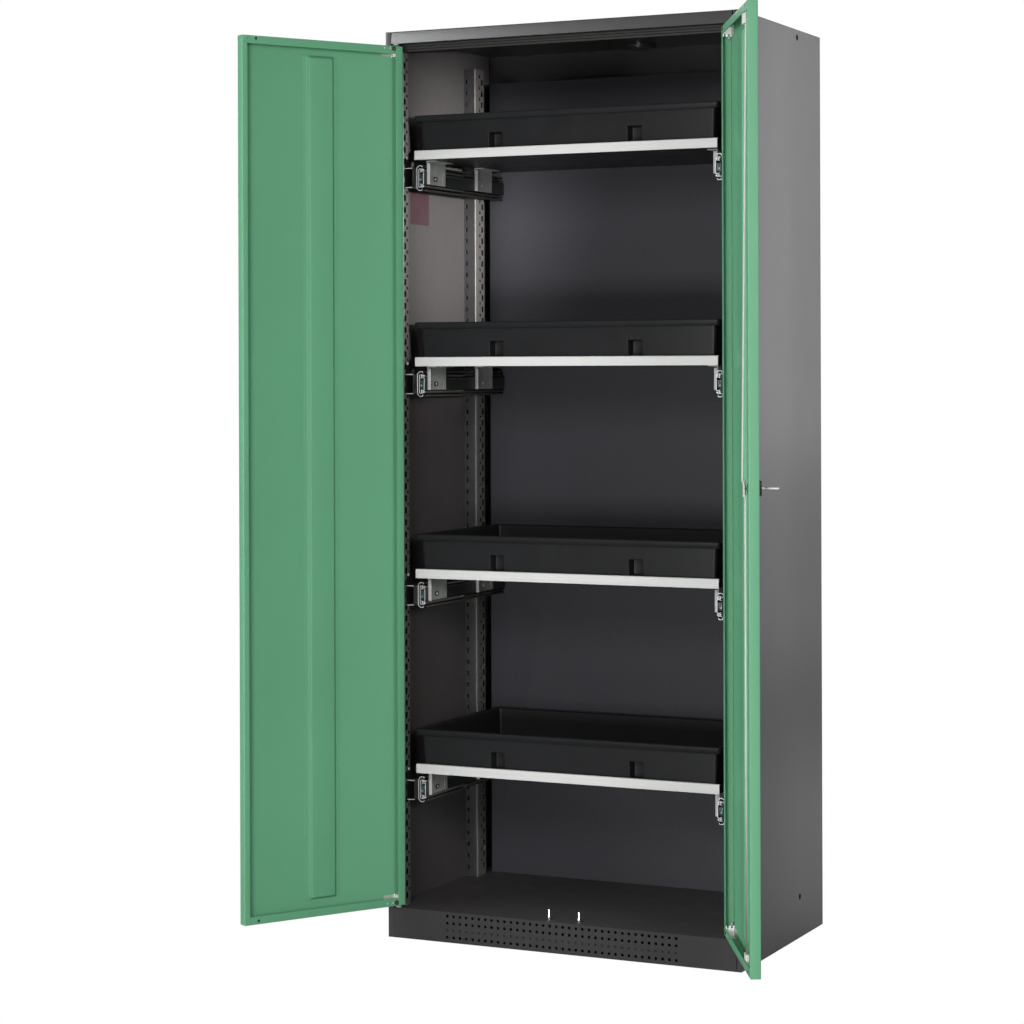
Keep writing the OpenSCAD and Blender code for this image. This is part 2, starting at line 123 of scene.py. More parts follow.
def make_light():
    w = bpy.data.worlds.new("studio")
    scene.world = w
    w.use_nodes = True
    nt = w.node_tree
    nt.nodes.clear()
    out = nt.nodes.new("ShaderNodeOutputWorld")
    mix = nt.nodes.new("ShaderNodeMixShader")
    lp = nt.nodes.new("ShaderNodeLightPath")
    seen = nt.nodes.new("ShaderNodeBackground")
    seen.inputs["Color"].default_value = (1, 1, 1, 1)
    seen.inputs["Strength"].default_value = 1.0
    lit = nt.nodes.new("ShaderNodeBackground")
    lit.inputs["Strength"].default_value = WORLD
    tc = nt.nodes.new("ShaderNodeTexCoord")
    sep = nt.nodes.new("ShaderNodeSeparateXYZ")
    ramp = nt.nodes.new("ShaderNodeValToRGB")
    ramp.color_ramp.elements[0].position = 0.42
    ramp.color_ramp.elements[0].color = (0.42, 0.42, 0.43, 1)
    ramp.color_ramp.elements[1].position = 0.75
    ramp.color_ramp.elements[1].color = (1.0, 1.0, 1.0, 1)
    mr = nt.nodes.new("ShaderNodeMapRange")
    mr.inputs["From Min"].default_value = -1
    mr.inputs["From Max"].default_value = 1
    nt.links.new(tc.outputs["Generated"], sep.inputs[0])
    nt.links.new(sep.outputs["Z"], mr.inputs["Value"])
    nt.links.new(mr.outputs["Result"], ramp.inputs["Fac"])
    nt.links.new(ramp.outputs["Color"], lit.inputs["Color"])
    nt.links.new(lp.outputs["Is Camera Ray"], mix.inputs["Fac"])
    nt.links.new(lit.outputs[0], mix.inputs[1])
    nt.links.new(seen.outputs[0], mix.inputs[2])
    nt.links.new(mix.outputs[0], out.inputs["Surface"])
    for a in LIGHTS:
        area(*a)
    for a in SPOTS:
        spot(*a)


WORLD = 0.17
LIGHTS = [
    # name, location, target, width, watts, colour, height
    ("key_right", (4.3, -3.9, 2.2), (-0.2, -0.2, 1.1), 1.4, 100, (1, 0.99, 0.97), 1.4),
    ("softbox_left", (-3.1, -3.3, 1.6), (0.3, -0.3, 1.2), 1.7, 113, (0.98, 0.99, 1), 2.4),
    ("fascia_light", (-2.75, -3.3, 2.3), (0.3, -0.3, 1.2), 1.0, 160, (0.98, 0.99, 1), 1.5),
    ("frontal", (0.8, -4.9, 2.45), (0.1, -0.2, 1.1), 1.2, 68, (1, 1, 1), 1.0),
    ("frontal_low", (0.6, -4.6, 0.45), (0.1, -0.2, 0.5), 1.2, 84, (1, 1, 1), 0.6),
    ("overhead", (0.0, -0.6, 5.2), (0.0, -0.4, 0.0), 4.0, 34, (1, 1, 1), 4.0),
    ("backdrop_right", (3.2, 4.2, 1.9), (0.5, 0.0, 1.2), 3.2, 39, (1, 1, 1), 2.0),
    ("backdrop_low", (3.2, 4.2, 0.5), (0.5, 0.0, 0.4), 3.2, 11, (1, 1, 1), 1.0),
    ("floor_light", (1.5, 1.5, 1.9), (1.5, 1.5, 0.0), 2.0, 90, (1, 1, 1), 2.2),
    ("rim_back", (-1.6, 3.6, 2.6), (0.0, 0.2, 1.2), 1.6, 55, (1, 1, 1), 1.6),
]
# narrow lamps that reach into the body past the open doors
SPOTS = [
    # name, location, target, cone in degrees, watts, narrowing
    ("wall_spot", (2.6, -3.2, 1.50), (-0.40, 0.01, 1.56), 11.0, 2500, 0.50),
    ("rear_spot", (1.6, -3.6, 1.55), (-0.33, 0.19, 1.58), 6.0, 700, 0.7),
]
# what a lamp lights, or with a minus sign what it leaves out
LIT = {
    "wall_spot": ["side_panel_left_sheet", "uprights_sheet", "label_plate_film"],
    "rear_spot": ["rear_duct_panel_sheet"],
    "fascia_light": ["top_panel_sheet"],
    "floor_light": ["floor"],
    "softbox_left": ["-rear_duct_panel_sheet", "-top_panel_sheet", "-door_stop_rail_sheet"]
    + ["-%s" % (k % n) for k in ("tray_%d_moulded", "shelf_brackets_%d_folded") for n in (1, 2, 3, 4)],
}

make_camera()
make_light()
scene.view_settings.view_transform = "Standard"
scene.view_settings.look = "None"
scene.view_settings.exposure = 0.0
scene.view_settings.gamma = 1.0


# =====================================================================
# materials
# =====================================================================
def srgb(r, g, b):
    out = []
    for v in (r, g, b):
        v /= 255.0
        out.append(v / 12.92 if v <= 0.04045 else ((v + 0.055) / 1.055) ** 2.4)
    return tuple(out)


class Mat:
    """A material with a few shorthand calls for its node tree."""

    def __init__(self, name):
        self.m = bpy.data.materials.new(name)
        self.m.use_nodes = True
        self.nt = self.m.node_tree
        self.bsdf = next(n for n in self.nt.nodes if n.type == "BSDF_PRINCIPLED")
        self.tc = self.nt.nodes.new("ShaderNodeTexCoord")

    def set(self, **kw):
        for k, v in kw.items():
            self.bsdf.inputs[k.replace("_", " ")].default_value = v

    def coord(self, scale=(1, 1, 1), rot=(0, 0, 0)):
        mp = self.nt.nodes.new("ShaderNodeMapping")
        mp.inputs["Scale"].default_value = scale
        mp.inputs["Rotation"].default_value = rot
        self.nt.links.new(self.tc.outputs["Object"], mp.inputs["Vector"])
        return mp.outputs["Vector"]

    def noise(self, scale, detail=2.0, rough=0.5, vec=None, out="Fac"):
        n = self.nt.nodes.new("ShaderNodeTexNoise")
        n.inputs["Scale"].default_value = scale
        n.inputs["Detail"].default_value = detail
        n.inputs["Roughness"].default_value = rough
        self.nt.links.new(vec or self.coord(), n.inputs["Vector"])
        return n.outputs[out]

    def voronoi(self, scale, vec=None, feature="F1", out="Distance"):
        n = self.nt.nodes.new("ShaderNodeTexVoronoi")
        n.feature = feature
        n.inputs["Scale"].default_value = scale
        self.nt.links.new(vec or self.coord(), n.inputs["Vector"])
        return n.outputs[out]

    def ramp(self, fac, stops):
        r = self.nt.nodes.new("ShaderNodeValToRGB")
        e = r.color_ramp.elements
        while len(e) < len(stops):
            e.new(0.5)
        for i, (p, c) in enumerate(stops):
            e[i].position = p
            e[i].color = (*c, 1) if len(c) == 3 else c
        self.nt.links.new(fac, r.inputs["Fac"])
        return r.outputs["Color"]

    def rng(self, fac, a, b, lo=0.0, hi=1.0):
        r = self.nt.nodes.new("ShaderNodeMapRange")
        r.inputs["From Min"].default_value = lo
        r.inputs["From Max"].default_value = hi
        r.inputs["To Min"].default_value = a
        r.inputs["To Max"].default_value = b
        self.nt.links.new(fac, r.inputs["Value"])
        return r.outputs["Result"]

    def mix(self, fac, a, b, mode="MIX"):
        m = self.nt.nodes.new("ShaderNodeMix")
        m.data_type = "RGBA"
        m.blend_type = mode
        for k, v in (("Factor", fac), ("A", a), ("B", b)):
            sock = next(s for s in m.inputs if s.name == k and s.type == ("VALUE" if k == "Factor" else "RGBA"))
            if isinstance(v, bpy.types.NodeSocket):
                self.nt.links.new(v, sock)
            elif isinstance(v, (int, float)):
                sock.default_value = v
            else:
                sock.default_value = (*v, 1)
        return next(s for s in m.outputs if s.type == "RGBA")

    def math(self, op, a, b=None):
        m = self.nt.nodes.new("ShaderNodeMath")
        m.operation = op
        for i, v in enumerate((a, b)):
            if v is None:
                continue
            if isinstance(v, bpy.types.NodeSocket):
                self.nt.links.new(v, m.inputs[i])
            else:
                m.inputs[i].default_value = v
        return m.outputs[0]

    def link(self, out, name):
        self.nt.links.new(out, self.bsdf.inputs[name])

    def bump(self, height, strength=0.3, dist=0.0003, normal=None):
        b = self.nt.nodes.new("ShaderNodeBump")
        b.inputs["Strength"].default_value = strength
        b.inputs["Distance"].default_value = dist
        self.nt.links.new(height, b.inputs["Height"])
        if normal is not None:
            self.nt.links.new(normal, b.inputs["Normal"])
        return b.outputs["Normal"]


def powder(name, col, rough=0.42, grain=520, depth=0.00012, speck=0.10, cloud=0.06, spec=0.5, bumpy=0.5, gloss=1.0):
    """Stove-enamelled powder coat: orange peel, a fine speckle and a slow drift of tone."""
    m = Mat(name)
    fine = m.noise(grain, 3.0, 0.6)
    mid = m.noise(grain * 0.28, 2.0, 0.5)
    slow = m.noise(2.2, 3.0, 0.55)
    dark = tuple(c * (1 - speck) for c in col)
    light = tuple(min(1, c * (1 + speck)) for c in col)
    base = m.ramp(fine, [(0.32, dark), (0.68, light)])
    tone = m.ramp(slow, [(0.3, (1 - cloud,) * 3), (0.7, (1 + cloud,) * 3)])
    m.link(m.mix(1.0, base, tone, "MULTIPLY"), "Base Color")
    m.link(m.rng(m.noise(14, 3.0, 0.6), rough - 0.05 * gloss, rough + 0.06 * gloss, 0.3, 0.7), "Roughness")
    h = m.math("ADD", fine, m.math("MULTIPLY", mid, 1.6))
    m.link(m.bump(h, bumpy, depth), "Normal")
    m.set(Specular_IOR_Level=spec)
    return m.m


def metal(name, col, rough=0.32, spangle=0.06, brushed=None, metallic=1.0, dull=None):
    """Plated or bare steel: cloudy plating, fine scratches and a varying gloss."""
    m = Mat(name)
    vec = m.coord(brushed) if brushed else m.coord()
    cell = m.voronoi(330, vec=m.coord(), out="Color")
    grey = m.nt.nodes.new("ShaderNodeRGBToBW")
    m.nt.links.new(cell, grey.inputs[0])
    streak = m.noise(420 if not brushed else 60, 4.0, 0.65, vec)
    lo = tuple(c * (1 - spangle) for c in col)
    hi = tuple(min(1, c * (1 + spangle)) for c in col)
    base = m.ramp(grey.outputs[0], [(0.2, lo), (0.8, hi)])
    if dull:
        patch = m.ramp(m.noise(45, 4, 0.6), [(0.42, (0, 0, 0)), (0.7, (1, 1, 1))])
        bw = m.nt.nodes.new("ShaderNodeRGBToBW")
        m.nt.links.new(patch, bw.inputs[0])
        base = m.mix(bw.outputs[0], base, dull)
    m.link(base, "Base Color")
    m.link(m.rng(streak, rough - 0.08, rough + 0.12, 0.3, 0.7), "Roughness")
    m.link(m.bump(streak, 0.15, 0.00006), "Normal")
    m.set(Metallic=metallic)
    return m.m


def plastic(name, col, rough=0.4, grain=900, depth=0.00006, cloud=0.08, spec=0.5, bumpy=0.4, sub=0.0):
    m = Mat(name)
    fine = m.noise(grain, 2.0, 0.5)
    slow = m.noise(5.0, 3.0, 0.5)
    base = m.ramp(slow, [(0.3, tuple(c * (1 - cloud) for c in col)), (0.7, tuple(min(1, c * (1 + cloud)) for c in col))])
    m.link(base, "Base Color")
    m.link(m.rng(m.noise(26, 3, 0.6), rough - 0.05, rough + 0.07, 0.3, 0.7), "Roughness")
    m.link(m.bump(fine, bumpy, depth), "Normal")
    m.set(Specular_IOR_Level=spec)
    if sub:
        m.set(Subsurface_Weight=sub, Subsurface_Radius=(0.002, 0.002, 0.002))
    return m.m


BODY_COL = srgb(43, 43, 43)
# the inside is the same paint as the outside; this lighter copy is painted light on the inner walls and floor
IN_COL = srgb(70, 67, 67)
GREEN_COL = srgb(90, 149, 114)
M = {}
M["body"] = powder("anthracite_powder_coat", BODY_COL, 0.28, 620, 0.00010, 0.14, 0.02, 0.5, 0.45, 0.12)
M["interior"] = powder("interior_powder_coat_lit_copy", IN_COL, 0.50, 620, 0.00012, 0.16, 0.06, 0.35, 0.55)
M["rail"] = powder("rail_powder_coat", srgb(51, 50, 49), 0.50, 620, 0.00010, 0.14, 0.05, 0.3, 0.5)
# a darker, duller copy of the body paint for the top's upward faces: painted shade
M["body_top"] = powder("anthracite_powder_coat_top_shaded", srgb(36, 36, 36), 0.62, 620, 0.00010, 0.14, 0.02, 0.18, 0.45, 0.12)
# a darker copy of the cabinet paint for the uprights' forward-facing legs: painted shade
M["upright_leg"] = powder("upright_leg_powder_coat_shaded_copy", srgb(29, 28, 29), 0.42, 700, 0.00008, 0.08, 0.05, 0.4, 0.4)
# the rear wall is the same cabinet paint; its own lighter, bluish tone stands in for the light on it: painted light
M["rear"] = powder("rear_wall_powder_coat_lit_copy", srgb(55, 55, 60), 0.50, 620, 0.00012, 0.18, 0.03, 0.25, 0.55)
M["green"] = powder("green_powder_coat", GREEN_COL, 0.48, 700, 0.00007, 0.03, 0.03, 0.36, 0.4)
# a lighter copy of the cabinet paint for the uprights' face: painted light
M["upright"] = powder("upright_powder_coat_lit_copy", srgb(86, 83, 81), 0.42, 700, 0.00008, 0.08, 0.05, 0.5, 0.4)
M["black"] = powder("black_powder_coat", srgb(24, 24, 26), 0.42, 800, 0.00006, 0.10, 0.05, 0.4, 0.4)
M["tray"] = plastic("tray_polyethylene", srgb(26, 26, 28), 0.44, 1300, 0.00005, 0.08, 0.22, 0.45)
M["zinc"] = metal("zinc_plated_steel", (0.44, 0.44, 0.43), 0.56, 0.05, metallic=0.18, dull=(0.36, 0.36, 0.35))
M["zinc_edge"] = metal("bright_cut_edge", (0.66, 0.67, 0.67), 0.36, 0.03, metallic=0.45)
M["key"] = metal("nickel_plated_key", (0.92, 0.92, 0.90), 0.34, 0.03, metallic=0.10)
M["slide"] = metal("blackened_slide_steel", (0.022, 0.025, 0.024), 0.44, 0.10, metallic=0.25, brushed=(600, 8, 600))
M["cage"] = metal("ball_cage_steel", (0.19, 0.165, 0.14), 0.42, 0.08, metallic=0.4)
M["ball"] = metal("bearing_ball_steel", (0.22, 0.23, 0.22), 0.34, 0.03, metallic=0.7)
M["chrome"] = metal("chrome_steel", (0.78, 0.79, 0.80), 0.14, 0.02)
M["rod"] = metal("rod_bright_steel", (0.68, 0.67, 0.63), 0.44, 0.03, metallic=0.20, brushed=(500, 500, 6))
# near-white copy of the bracket steel is painted light; the green-grey copy below is painted shade and a painted
# reflection of the green door
M["bracket"] = metal("hinge_bracket_steel", (0.88, 0.88, 0.86), 0.42, 0.03, metallic=0.05)
M["bracket_flat"] = metal("hinge_bracket_face_shaded_green_reflection", (0.42, 0.47, 0.43), 0.44, 0.05, metallic=0.25)
M["nylon_black"] = plastic("black_nylon", srgb(20, 20, 21), 0.42, 800, 0.00004, spec=0.4)
M["nylon_white"] = plastic("white_nylon", srgb(214, 214, 208), 0.45, 700, 0.00003, 0.03, sub=0.05)
M["rubber"] = plastic("black_rubber", srgb(28, 27, 27), 0.62, 600, 0.00005)
M["copper"] = plastic("brown_insert", srgb(96, 62, 52), 0.5, 600, 0.00005)
M["teal"] = plastic("teal_bumper", srgb(20, 62, 62), 0.3, 600, 0.00003)


def shade_rod_bottom():
    """Painted shade: the rods darken towards their lower end, below half a metre."""
    nt = M["rod"].node_tree
    b = next(n for n in nt.nodes if n.type == "BSDF_PRINCIPLED")
    src = b.inputs["Base Color"].links[0].from_socket
    tc = nt.nodes.new("ShaderNodeTexCoord")
    sep = nt.nodes.new("ShaderNodeSeparateXYZ")
    nt.links.new(tc.outputs["Object"], sep.inputs[0])
    r = nt.nodes.new("ShaderNodeValToRGB")
    e = r.color_ramp.elements
    e[0].position, e[0].color = 0.15, (0.26, 0.25, 0.21, 1)
    e[1].position, e[1].color = 0.50, (1, 1, 1, 1)
    nt.links.new(sep.outputs["Z"], r.inputs["Fac"])
    m = nt.nodes.new("ShaderNodeMix")
    m.data_type, m.blend_type = "RGBA", "MULTIPLY"
    fac = next(k for k in m.inputs if k.name == "Factor" and k.type == "VALUE")
    fac.default_value = 1.0
    ab = [k for k in m.inputs if k.type == "RGBA"]
    nt.links.new(src, ab[0])
    nt.links.new(r.outputs["Color"], ab[1])
    nt.links.new(next(k for k in m.outputs if k.type == "RGBA"), b.inputs["Base Color"])


shade_rod_bottom()


def strip_material():
    m = Mat("front_strip_lacquer")
    line = m.noise(3.0, 3.0, 0.6, m.coord((0.6, 1, 420)))
    slow = m.noise(3.5, 2.0, 0.5)
    a, b = srgb(179, 178, 177), srgb(189, 188, 187)
    base = m.ramp(line, [(0.35, a), (0.65, b)])
    tone = m.ramp(slow, [(0.3, (0.97,) * 3), (0.7, (1.03,) * 3)])
    m.link(m.mix(1.0, base, tone, "MULTIPLY"), "Base Color")
    m.link(m.rng(line, 0.30, 0.42, 0.3, 0.7), "Roughness")
    m.link(m.bump(line, 0.25, 0.00005), "Normal")
    return m.m


def label_material():
    m = Mat("label_film")
    a, b = srgb(58, 42, 46), srgb(64, 47, 51)
    fine = m.noise(900, 2, 0.5)
    m.link(m.ramp(m.noise(30, 3, 0.5), [(0.3, a), (0.7, b)]), "Base Color")
    m.link(m.rng(m.noise(60, 2, 0.5), 0.32, 0.42, 0.3, 0.7), "Roughness")
    m.link(m.bump(fine, 0.2, 0.00003), "Normal")
    return m.m


M["strip"] = strip_material()
M["label"] = label_material()


# =====================================================================
# mesh tools, all in millimetres
# =====================================================================
def at(t):
    """depth behind the front plane to y"""
    return t - HD


def fold(pts, th, ri=0.8, seg=3, tip=0.25):
    """Outline of a bent sheet from its centreline, with round bends and eased tips."""
    P = [Vector(p) for p in pts]
    left, right = [], []
    n = len(P)

    def nl(d):
        return Vector((-d.y, d.x))

    for i in range(n):
        if i == 0 or i == n - 1:
            d = (P[1] - P[0]).normalized() if i == 0 else (P[-1] - P[-2]).normalized()
            s = -1 if i == 0 else 1
            q = P[i]
            if tip:
                a = [q + d * s * 0 + nl(d) * (th / 2 - tip), q - d * s * tip + nl(d) * th / 2]
                b = [q + d * s * 0 - nl(d) * (th / 2 - tip), q - d * s * tip - nl(d) * th / 2]
                if i == 0:
                    left += a
                    right += b
                else:
                    left += a[::-1]
                    right += b[::-1]
            else:
                left.append(q + nl(d) * th / 2)
                right.append(q - nl(d) * th / 2)
            continue
        d0, d1 = (P[i] - P[i - 1]).normalized(), (P[i + 1] - P[i]).normalized()
        cr = d0.x * d1.y - d0.y * d1.x
        ang = math.atan2(cr, d0.dot(d1))
        rc = ri + th / 2
        L = rc * math.tan(abs(ang) / 2)
        sgn = 1 if cr > 0 else -1
        start = P[i] - d0 * L
        cen = start + nl(d0) * sgn * rc
        v0 = (start - cen) / rc
        for k in range(seg + 1):
            a = ang * k / seg
            e = Vector((v0.x * math.cos(a) - v0.y * math.sin(a), v0.x * math.sin(a) + v0.y * math.cos(a)))
            left.append(cen + e * (rc - sgn * th / 2))
            right.append(cen + e * (rc + sgn * th / 2))
    return [tuple(p) for p in left + right[::-1]]


def poly_area(o):
    return 0.5 * sum(o[i][0] * o[(i + 1) % len(o)][1] - o[(i + 1) % len(o)][0] * o[i][1] for i in range(len(o)))


def inset(o, c):
    sgn = 1 if poly_area(o) > 0 else -1
    out = []
    n = len(o)
    for i in range(n):
        a, b, d = Vector(o[i - 1]), Vector(o[i]), Vector(o[(i + 1) % n])
        e0, e1 = (b - a).normalized(), (d - b).normalized()
        n0, n1 = Vector((-e0.y, e0.x)) * sgn, Vector((-e1.y, e1.x)) * sgn
        k = 1 + n0.dot(n1)
        mtr = (n0 + n1) / max(k, 0.35)
        out.append(tuple(b + mtr * c))
    return out


def rrect(x0, x1, y0, y1, r, seg=5):
    out = []
    for cx, cy, a0 in ((x1 - r, y1 - r, 0), (x0 + r, y1 - r, 90), (x0 + r, y0 + r, 180), (x1 - r, y0 + r, 270)):
        for k in range(seg + 1):
            a = math.radians(a0 + 90 * k / seg)
            out.append((cx + r * math.cos(a), cy + r * math.sin(a)))
    return out


def circle(cx, cy, r, n=24, a0=0.0):
    return [(cx + r * math.cos(a0 + 2 * math.pi * k / n), cy + r * math.sin(a0 + 2 * math.pi * k / n)) for k in range(n)]


def loft(rings, close_ends=True):
    n = len(rings[0])
    v = [p for r in rings for p in r]
    f = []
    for j in range(len(rings) - 1):
        for i in range(n):
            k = (i + 1) % n
            f.append((j * n + i, j * n + k, (j + 1) * n + k, (j + 1) * n + i))
    if close_ends:
        f.append(tuple(range(n))[::-1])
        f.append(tuple((len(rings) - 1) * n + i for i in range(n)))
    return v, f


def prism(o, place, a, b, c=0.2):
    """A closed outline swept straight from a to b; place(p, q, s) gives the point."""
    if c:
        ins = inset(o, c)
        seq = [(ins, a), (o, a + c), (o, b - c), (ins, b)]
    else:
        seq = [(o, a), (o, b)]
    return loft([[place(p[0], p[1], s) for p in ring] for ring, s in seq])


def tube(outer, inner, place, a, b, c=0.2):
    """A hollow section with as many points inside as outside."""
    n = len(outer)
    rings = [[place(*p, a + c) for p in outer], [place(*p, b - c) for p in outer],
             [place(*p, b) for p in inset(outer, c)], [place(*p, b) for p in inset(inner, -c)],
             [place(*p, b - c) for p in inner], [place(*p, a + c) for p in inner],
             [place(*p, a) for p in inset(inner, -c)], [place(*p, a) for p in inset(outer, c)]]
    v = [p for r in rings for p in r]
    f = []
    for j in range(8):
        j2 = (j + 1) % 8
        for i in range(n):
            k = (i + 1) % n
            f.append((j * n + i, j * n + k, j2 * n + k, j2 * n + i))
    return v, f


def XY(p, q, s):
    return (p, at(q), s)          # x, depth, height


def XZ(p, q, s):
    return (p, at(s), q)          # x, z, swept along depth


def TZ(p, q, s):
    return (s, at(p), q)          # depth, z, swept along x


def lathe(profile, n=32, place=None):
    """Revolves (r, h) points; a point with r = 0 closes on the axis."""
    place = place or (lambda x, y, z: (x, y, z))
    v, f, rows = [], [], []
    for r, h in profile:
        if r < 1e-9:
            rows.append([len(v)])
            v.append(place(0, 0, h))
        else:
            rows.append(list(range(len(v), len(v) + n)))
            v += [place(r * math.cos(2 * math.pi * k / n), r * math.sin(2 * math.pi * k / n), h) for k in range(n)]
    for a, b in zip(rows, rows[1:]):
        for k in range(n):
            k2 = (k + 1) % n
            if len(a) == 1 and len(b) == 1:
                continue
            if len(a) == 1:
                f.append((a[0], b[k2], b[k]))
            elif len(b) == 1:
                f.append((a[k], a[k2], b[0]))
            else:
                f.append((a[k], a[k2], b[k2], b[k]))
    return v, f


def plate(outer, holes, place, a, b, c=0.25):
    """A flat sheet with holes, eased on every edge; the outline lies in the place's first two axes."""
    def side(o_ring, h_rings):
        pts, edges = [], []
        for ring in [o_ring] + h_rings:
            base = len(pts)
            pts.extend(Vector(p) for p in ring)
            edges.extend((base + i, base + (i + 1) % len(ring)) for i in range(len(ring)))
        co, _, faces, *_rest = delaunay_2d_cdt(pts, edges, [], 0, 1e-5)
        keep = []
        for tri in faces:
            cx = sum(co[i][0] for i in tri) / len(tri)
            cy = sum(co[i][1] for i in tri) / len(tri)
            if inside(o_ring, cx, cy) and not any(inside(h, cx, cy) for h in near(h_rings, cx, cy)):
                keep.append(tri)
        return co, keep

    def inside(ring, x, y):
        odd = False
        j = len(ring) - 1
        for i in range(len(ring)):
            xi, yi = ring[i][0], ring[i][1]
            xj, yj = ring[j][0], ring[j][1]
            if (yi > y) != (yj > y) and x < (xj - xi) * (y - yi) / (yj - yi) + xi:
                odd = not odd
            j = i
        return odd

    boxes = [(min(p[0] for p in h), max(p[0] for p in h), min(p[1] for p in h), max(p[1] for p in h), i) for i, h in enumerate(holes)]

    def near(h_rings, x, y):
        return [h_rings[i] for x0, x1, y0, y1, i in boxes if x0 - 1 <= x <= x1 + 1 and y0 - 1 <= y <= y1 + 1]

    o_in = inset(outer, c)
    h_out = [inset(h, -c) for h in holes]
    co, tri = side(o_in, h_out)
    v = [place(p[0], p[1], a) for p in co] + [place(p[0], p[1], b) for p in co]
    n = len(co)
    f = [tuple(t) for t in tri] + [tuple(i + n for i in t)[::-1] for t in tri]
    # walls
    for full, eased in [(outer, o_in)] + list(zip(holes, h_out)):
        rings = [[place(*p, a) for p in eased], [place(*p, a + c) for p in full], [place(*p, b - c) for p in full], [place(*p, b) for p in eased]]
        wv, wf = loft(rings, close_ends=False)
        base = len(v)
        v += wv
        f += [tuple(i + base for i in q) for q in wf]
    return v, f


def rbox(x0, x1, y0, y1, z0, z1, r=0.6, seg=2):
    """A box with every edge rounded."""
    bm = bmesh.new()
    bmesh.ops.create_cube(bm, size=1)
    for v in bm.verts:
        v.co = Vector(((x0 + x1) / 2 + v.co.x * (x1 - x0), (y0 + y1) / 2 + v.co.y * (y1 - y0), (z0 + z1) / 2 + v.co.z * (z1 - z0)))
    bmesh.ops.bevel(bm, geom=list(bm.edges), offset=r, segments=seg, profile=0.5, affect="EDGES", clamp_overlap=True)
    bm.verts.index_update()
    out = [tuple(v.co) for v in bm.verts], [tuple(v.index for v in f.verts) for f in bm.faces]
    bm.free()
    return out


def ball(cx, cy, cz, r, n=10, m=6):
    prof = [(r * math.sin(math.pi * k / m), -r * math.cos(math.pi * k / m)) for k in range(m + 1)]
    prof[0], prof[-1] = (0, -r), (0, r)
    return lathe(prof, n, lambda x, y, z: (cx + x, cy + y, cz + z))


def moved(vf, fn):
    return [fn(p) for p in vf[0]], vf[1]


def mirror_x(vf):
    return [(-p[0], p[1], p[2]) for p in vf[0]], vf[1]


class Piece:
    """Collects closed shells, then becomes one object that rides on a body."""

    def __init__(self, name, mats):
        self.name, self.mats = name, mats
        self.v, self.f, self.m, self.cuts = [], [], [], []

    def add(self, vf, mat=0):
        base = len(self.v)
        self.v += [tuple(p) for p in vf[0]]
        self.f += [tuple(i + base for i in q) for q in vf[1]]
        self.m += [mat] * len(vf[1])
        return self

    def both(self, vf, mat=0):
        return self.add(vf, mat).add(mirror_x(vf), mat)

    def cut(self, vf):
        self.cuts.append(vf)
        return self

    def mesh(self, v, f, name, m=None, weld=0.002):
        bm = bmesh.new()
        vs = [bm.verts.new(p) for p in v]
        for i, q in enumerate(f):
            try:
                face = bm.faces.new([vs[k] for k in q])
            except ValueError:
                continue
            if m:
                face.material_index = m[i]
        if weld:
            bmesh.ops.remove_doubles(bm, verts=bm.verts, dist=weld)
        bmesh.ops.recalc_face_normals(bm, faces=bm.faces)
        me = bpy.data.meshes.new(name)
        bm.to_mesh(me)
        bm.free()
        return me

    def done(self, body, node=None, world=None, angle=32, tag=None):
        me = self.mesh(self.v, self.f, self.name, self.m)
        for k in self.mats:
            me.materials.append(M[k])
        o = bpy.data.objects.new(self.name, me)
        scene.collection.objects.link(o)
        if self.cuts:
            cv, cf = [], []
            for v, f in self.cuts:
                b = len(cv)
                cv += [tuple(p) for p in v]
                cf += [tuple(i + b for i in q) for q in f]
            c = bpy.data.objects.new(self.name + "_cutter", self.mesh(cv, cf, self.name + "_cutter"))
            scene.collection.objects.link(c)
            md = o.modifiers.new("cut", "BOOLEAN")
            md.operation, md.object, md.solver = "DIFFERENCE", c, "EXACT"
            md.use_self = False
            bpy.context.view_layer.update()
            dg = bpy.context.evaluated_depsgraph_get()
            new = bpy.data.meshes.new_from_object(o.evaluated_get(dg))
            o.modifiers.clear()
            o.data = new
            new.name = self.name
            bpy.data.objects.remove(c)
            me = new
        tf = world or (lambda p: p)
        for v in me.vertices:
            v.co = Vector(tf(tuple(v.co))) * MM
        me.update()
        bm = bmesh.new()
        bm.from_mesh(me)
        bmesh.ops.recalc_face_normals(bm, faces=bm.faces)
        bm.to_mesh(me)
        bm.free()
        me.shade_smooth()
        me.set_sharp_from_angle(angle=math.radians(angle))
        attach(o, body)
        if node:
            for n in ([node] if isinstance(node, str) else node):
                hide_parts(n)
        return o


def left_door(p):
    a = math.radians(OPEN_L)
    du, dv = p[0] - PU, p[1] - PV
    return (-PX + du * math.cos(a) + dv * math.sin(a), PV - HD - du * math.sin(a) + dv * math.cos(a), p[2])


def right_door(p):
    a = math.radians(OPEN_R)
    du, dv = p[0] - PU, p[1] - PV
    return (PX - (du * math.cos(a) + dv * math.sin(a)), PV - HD - du * math.sin(a) + dv * math.cos(a), p[2])


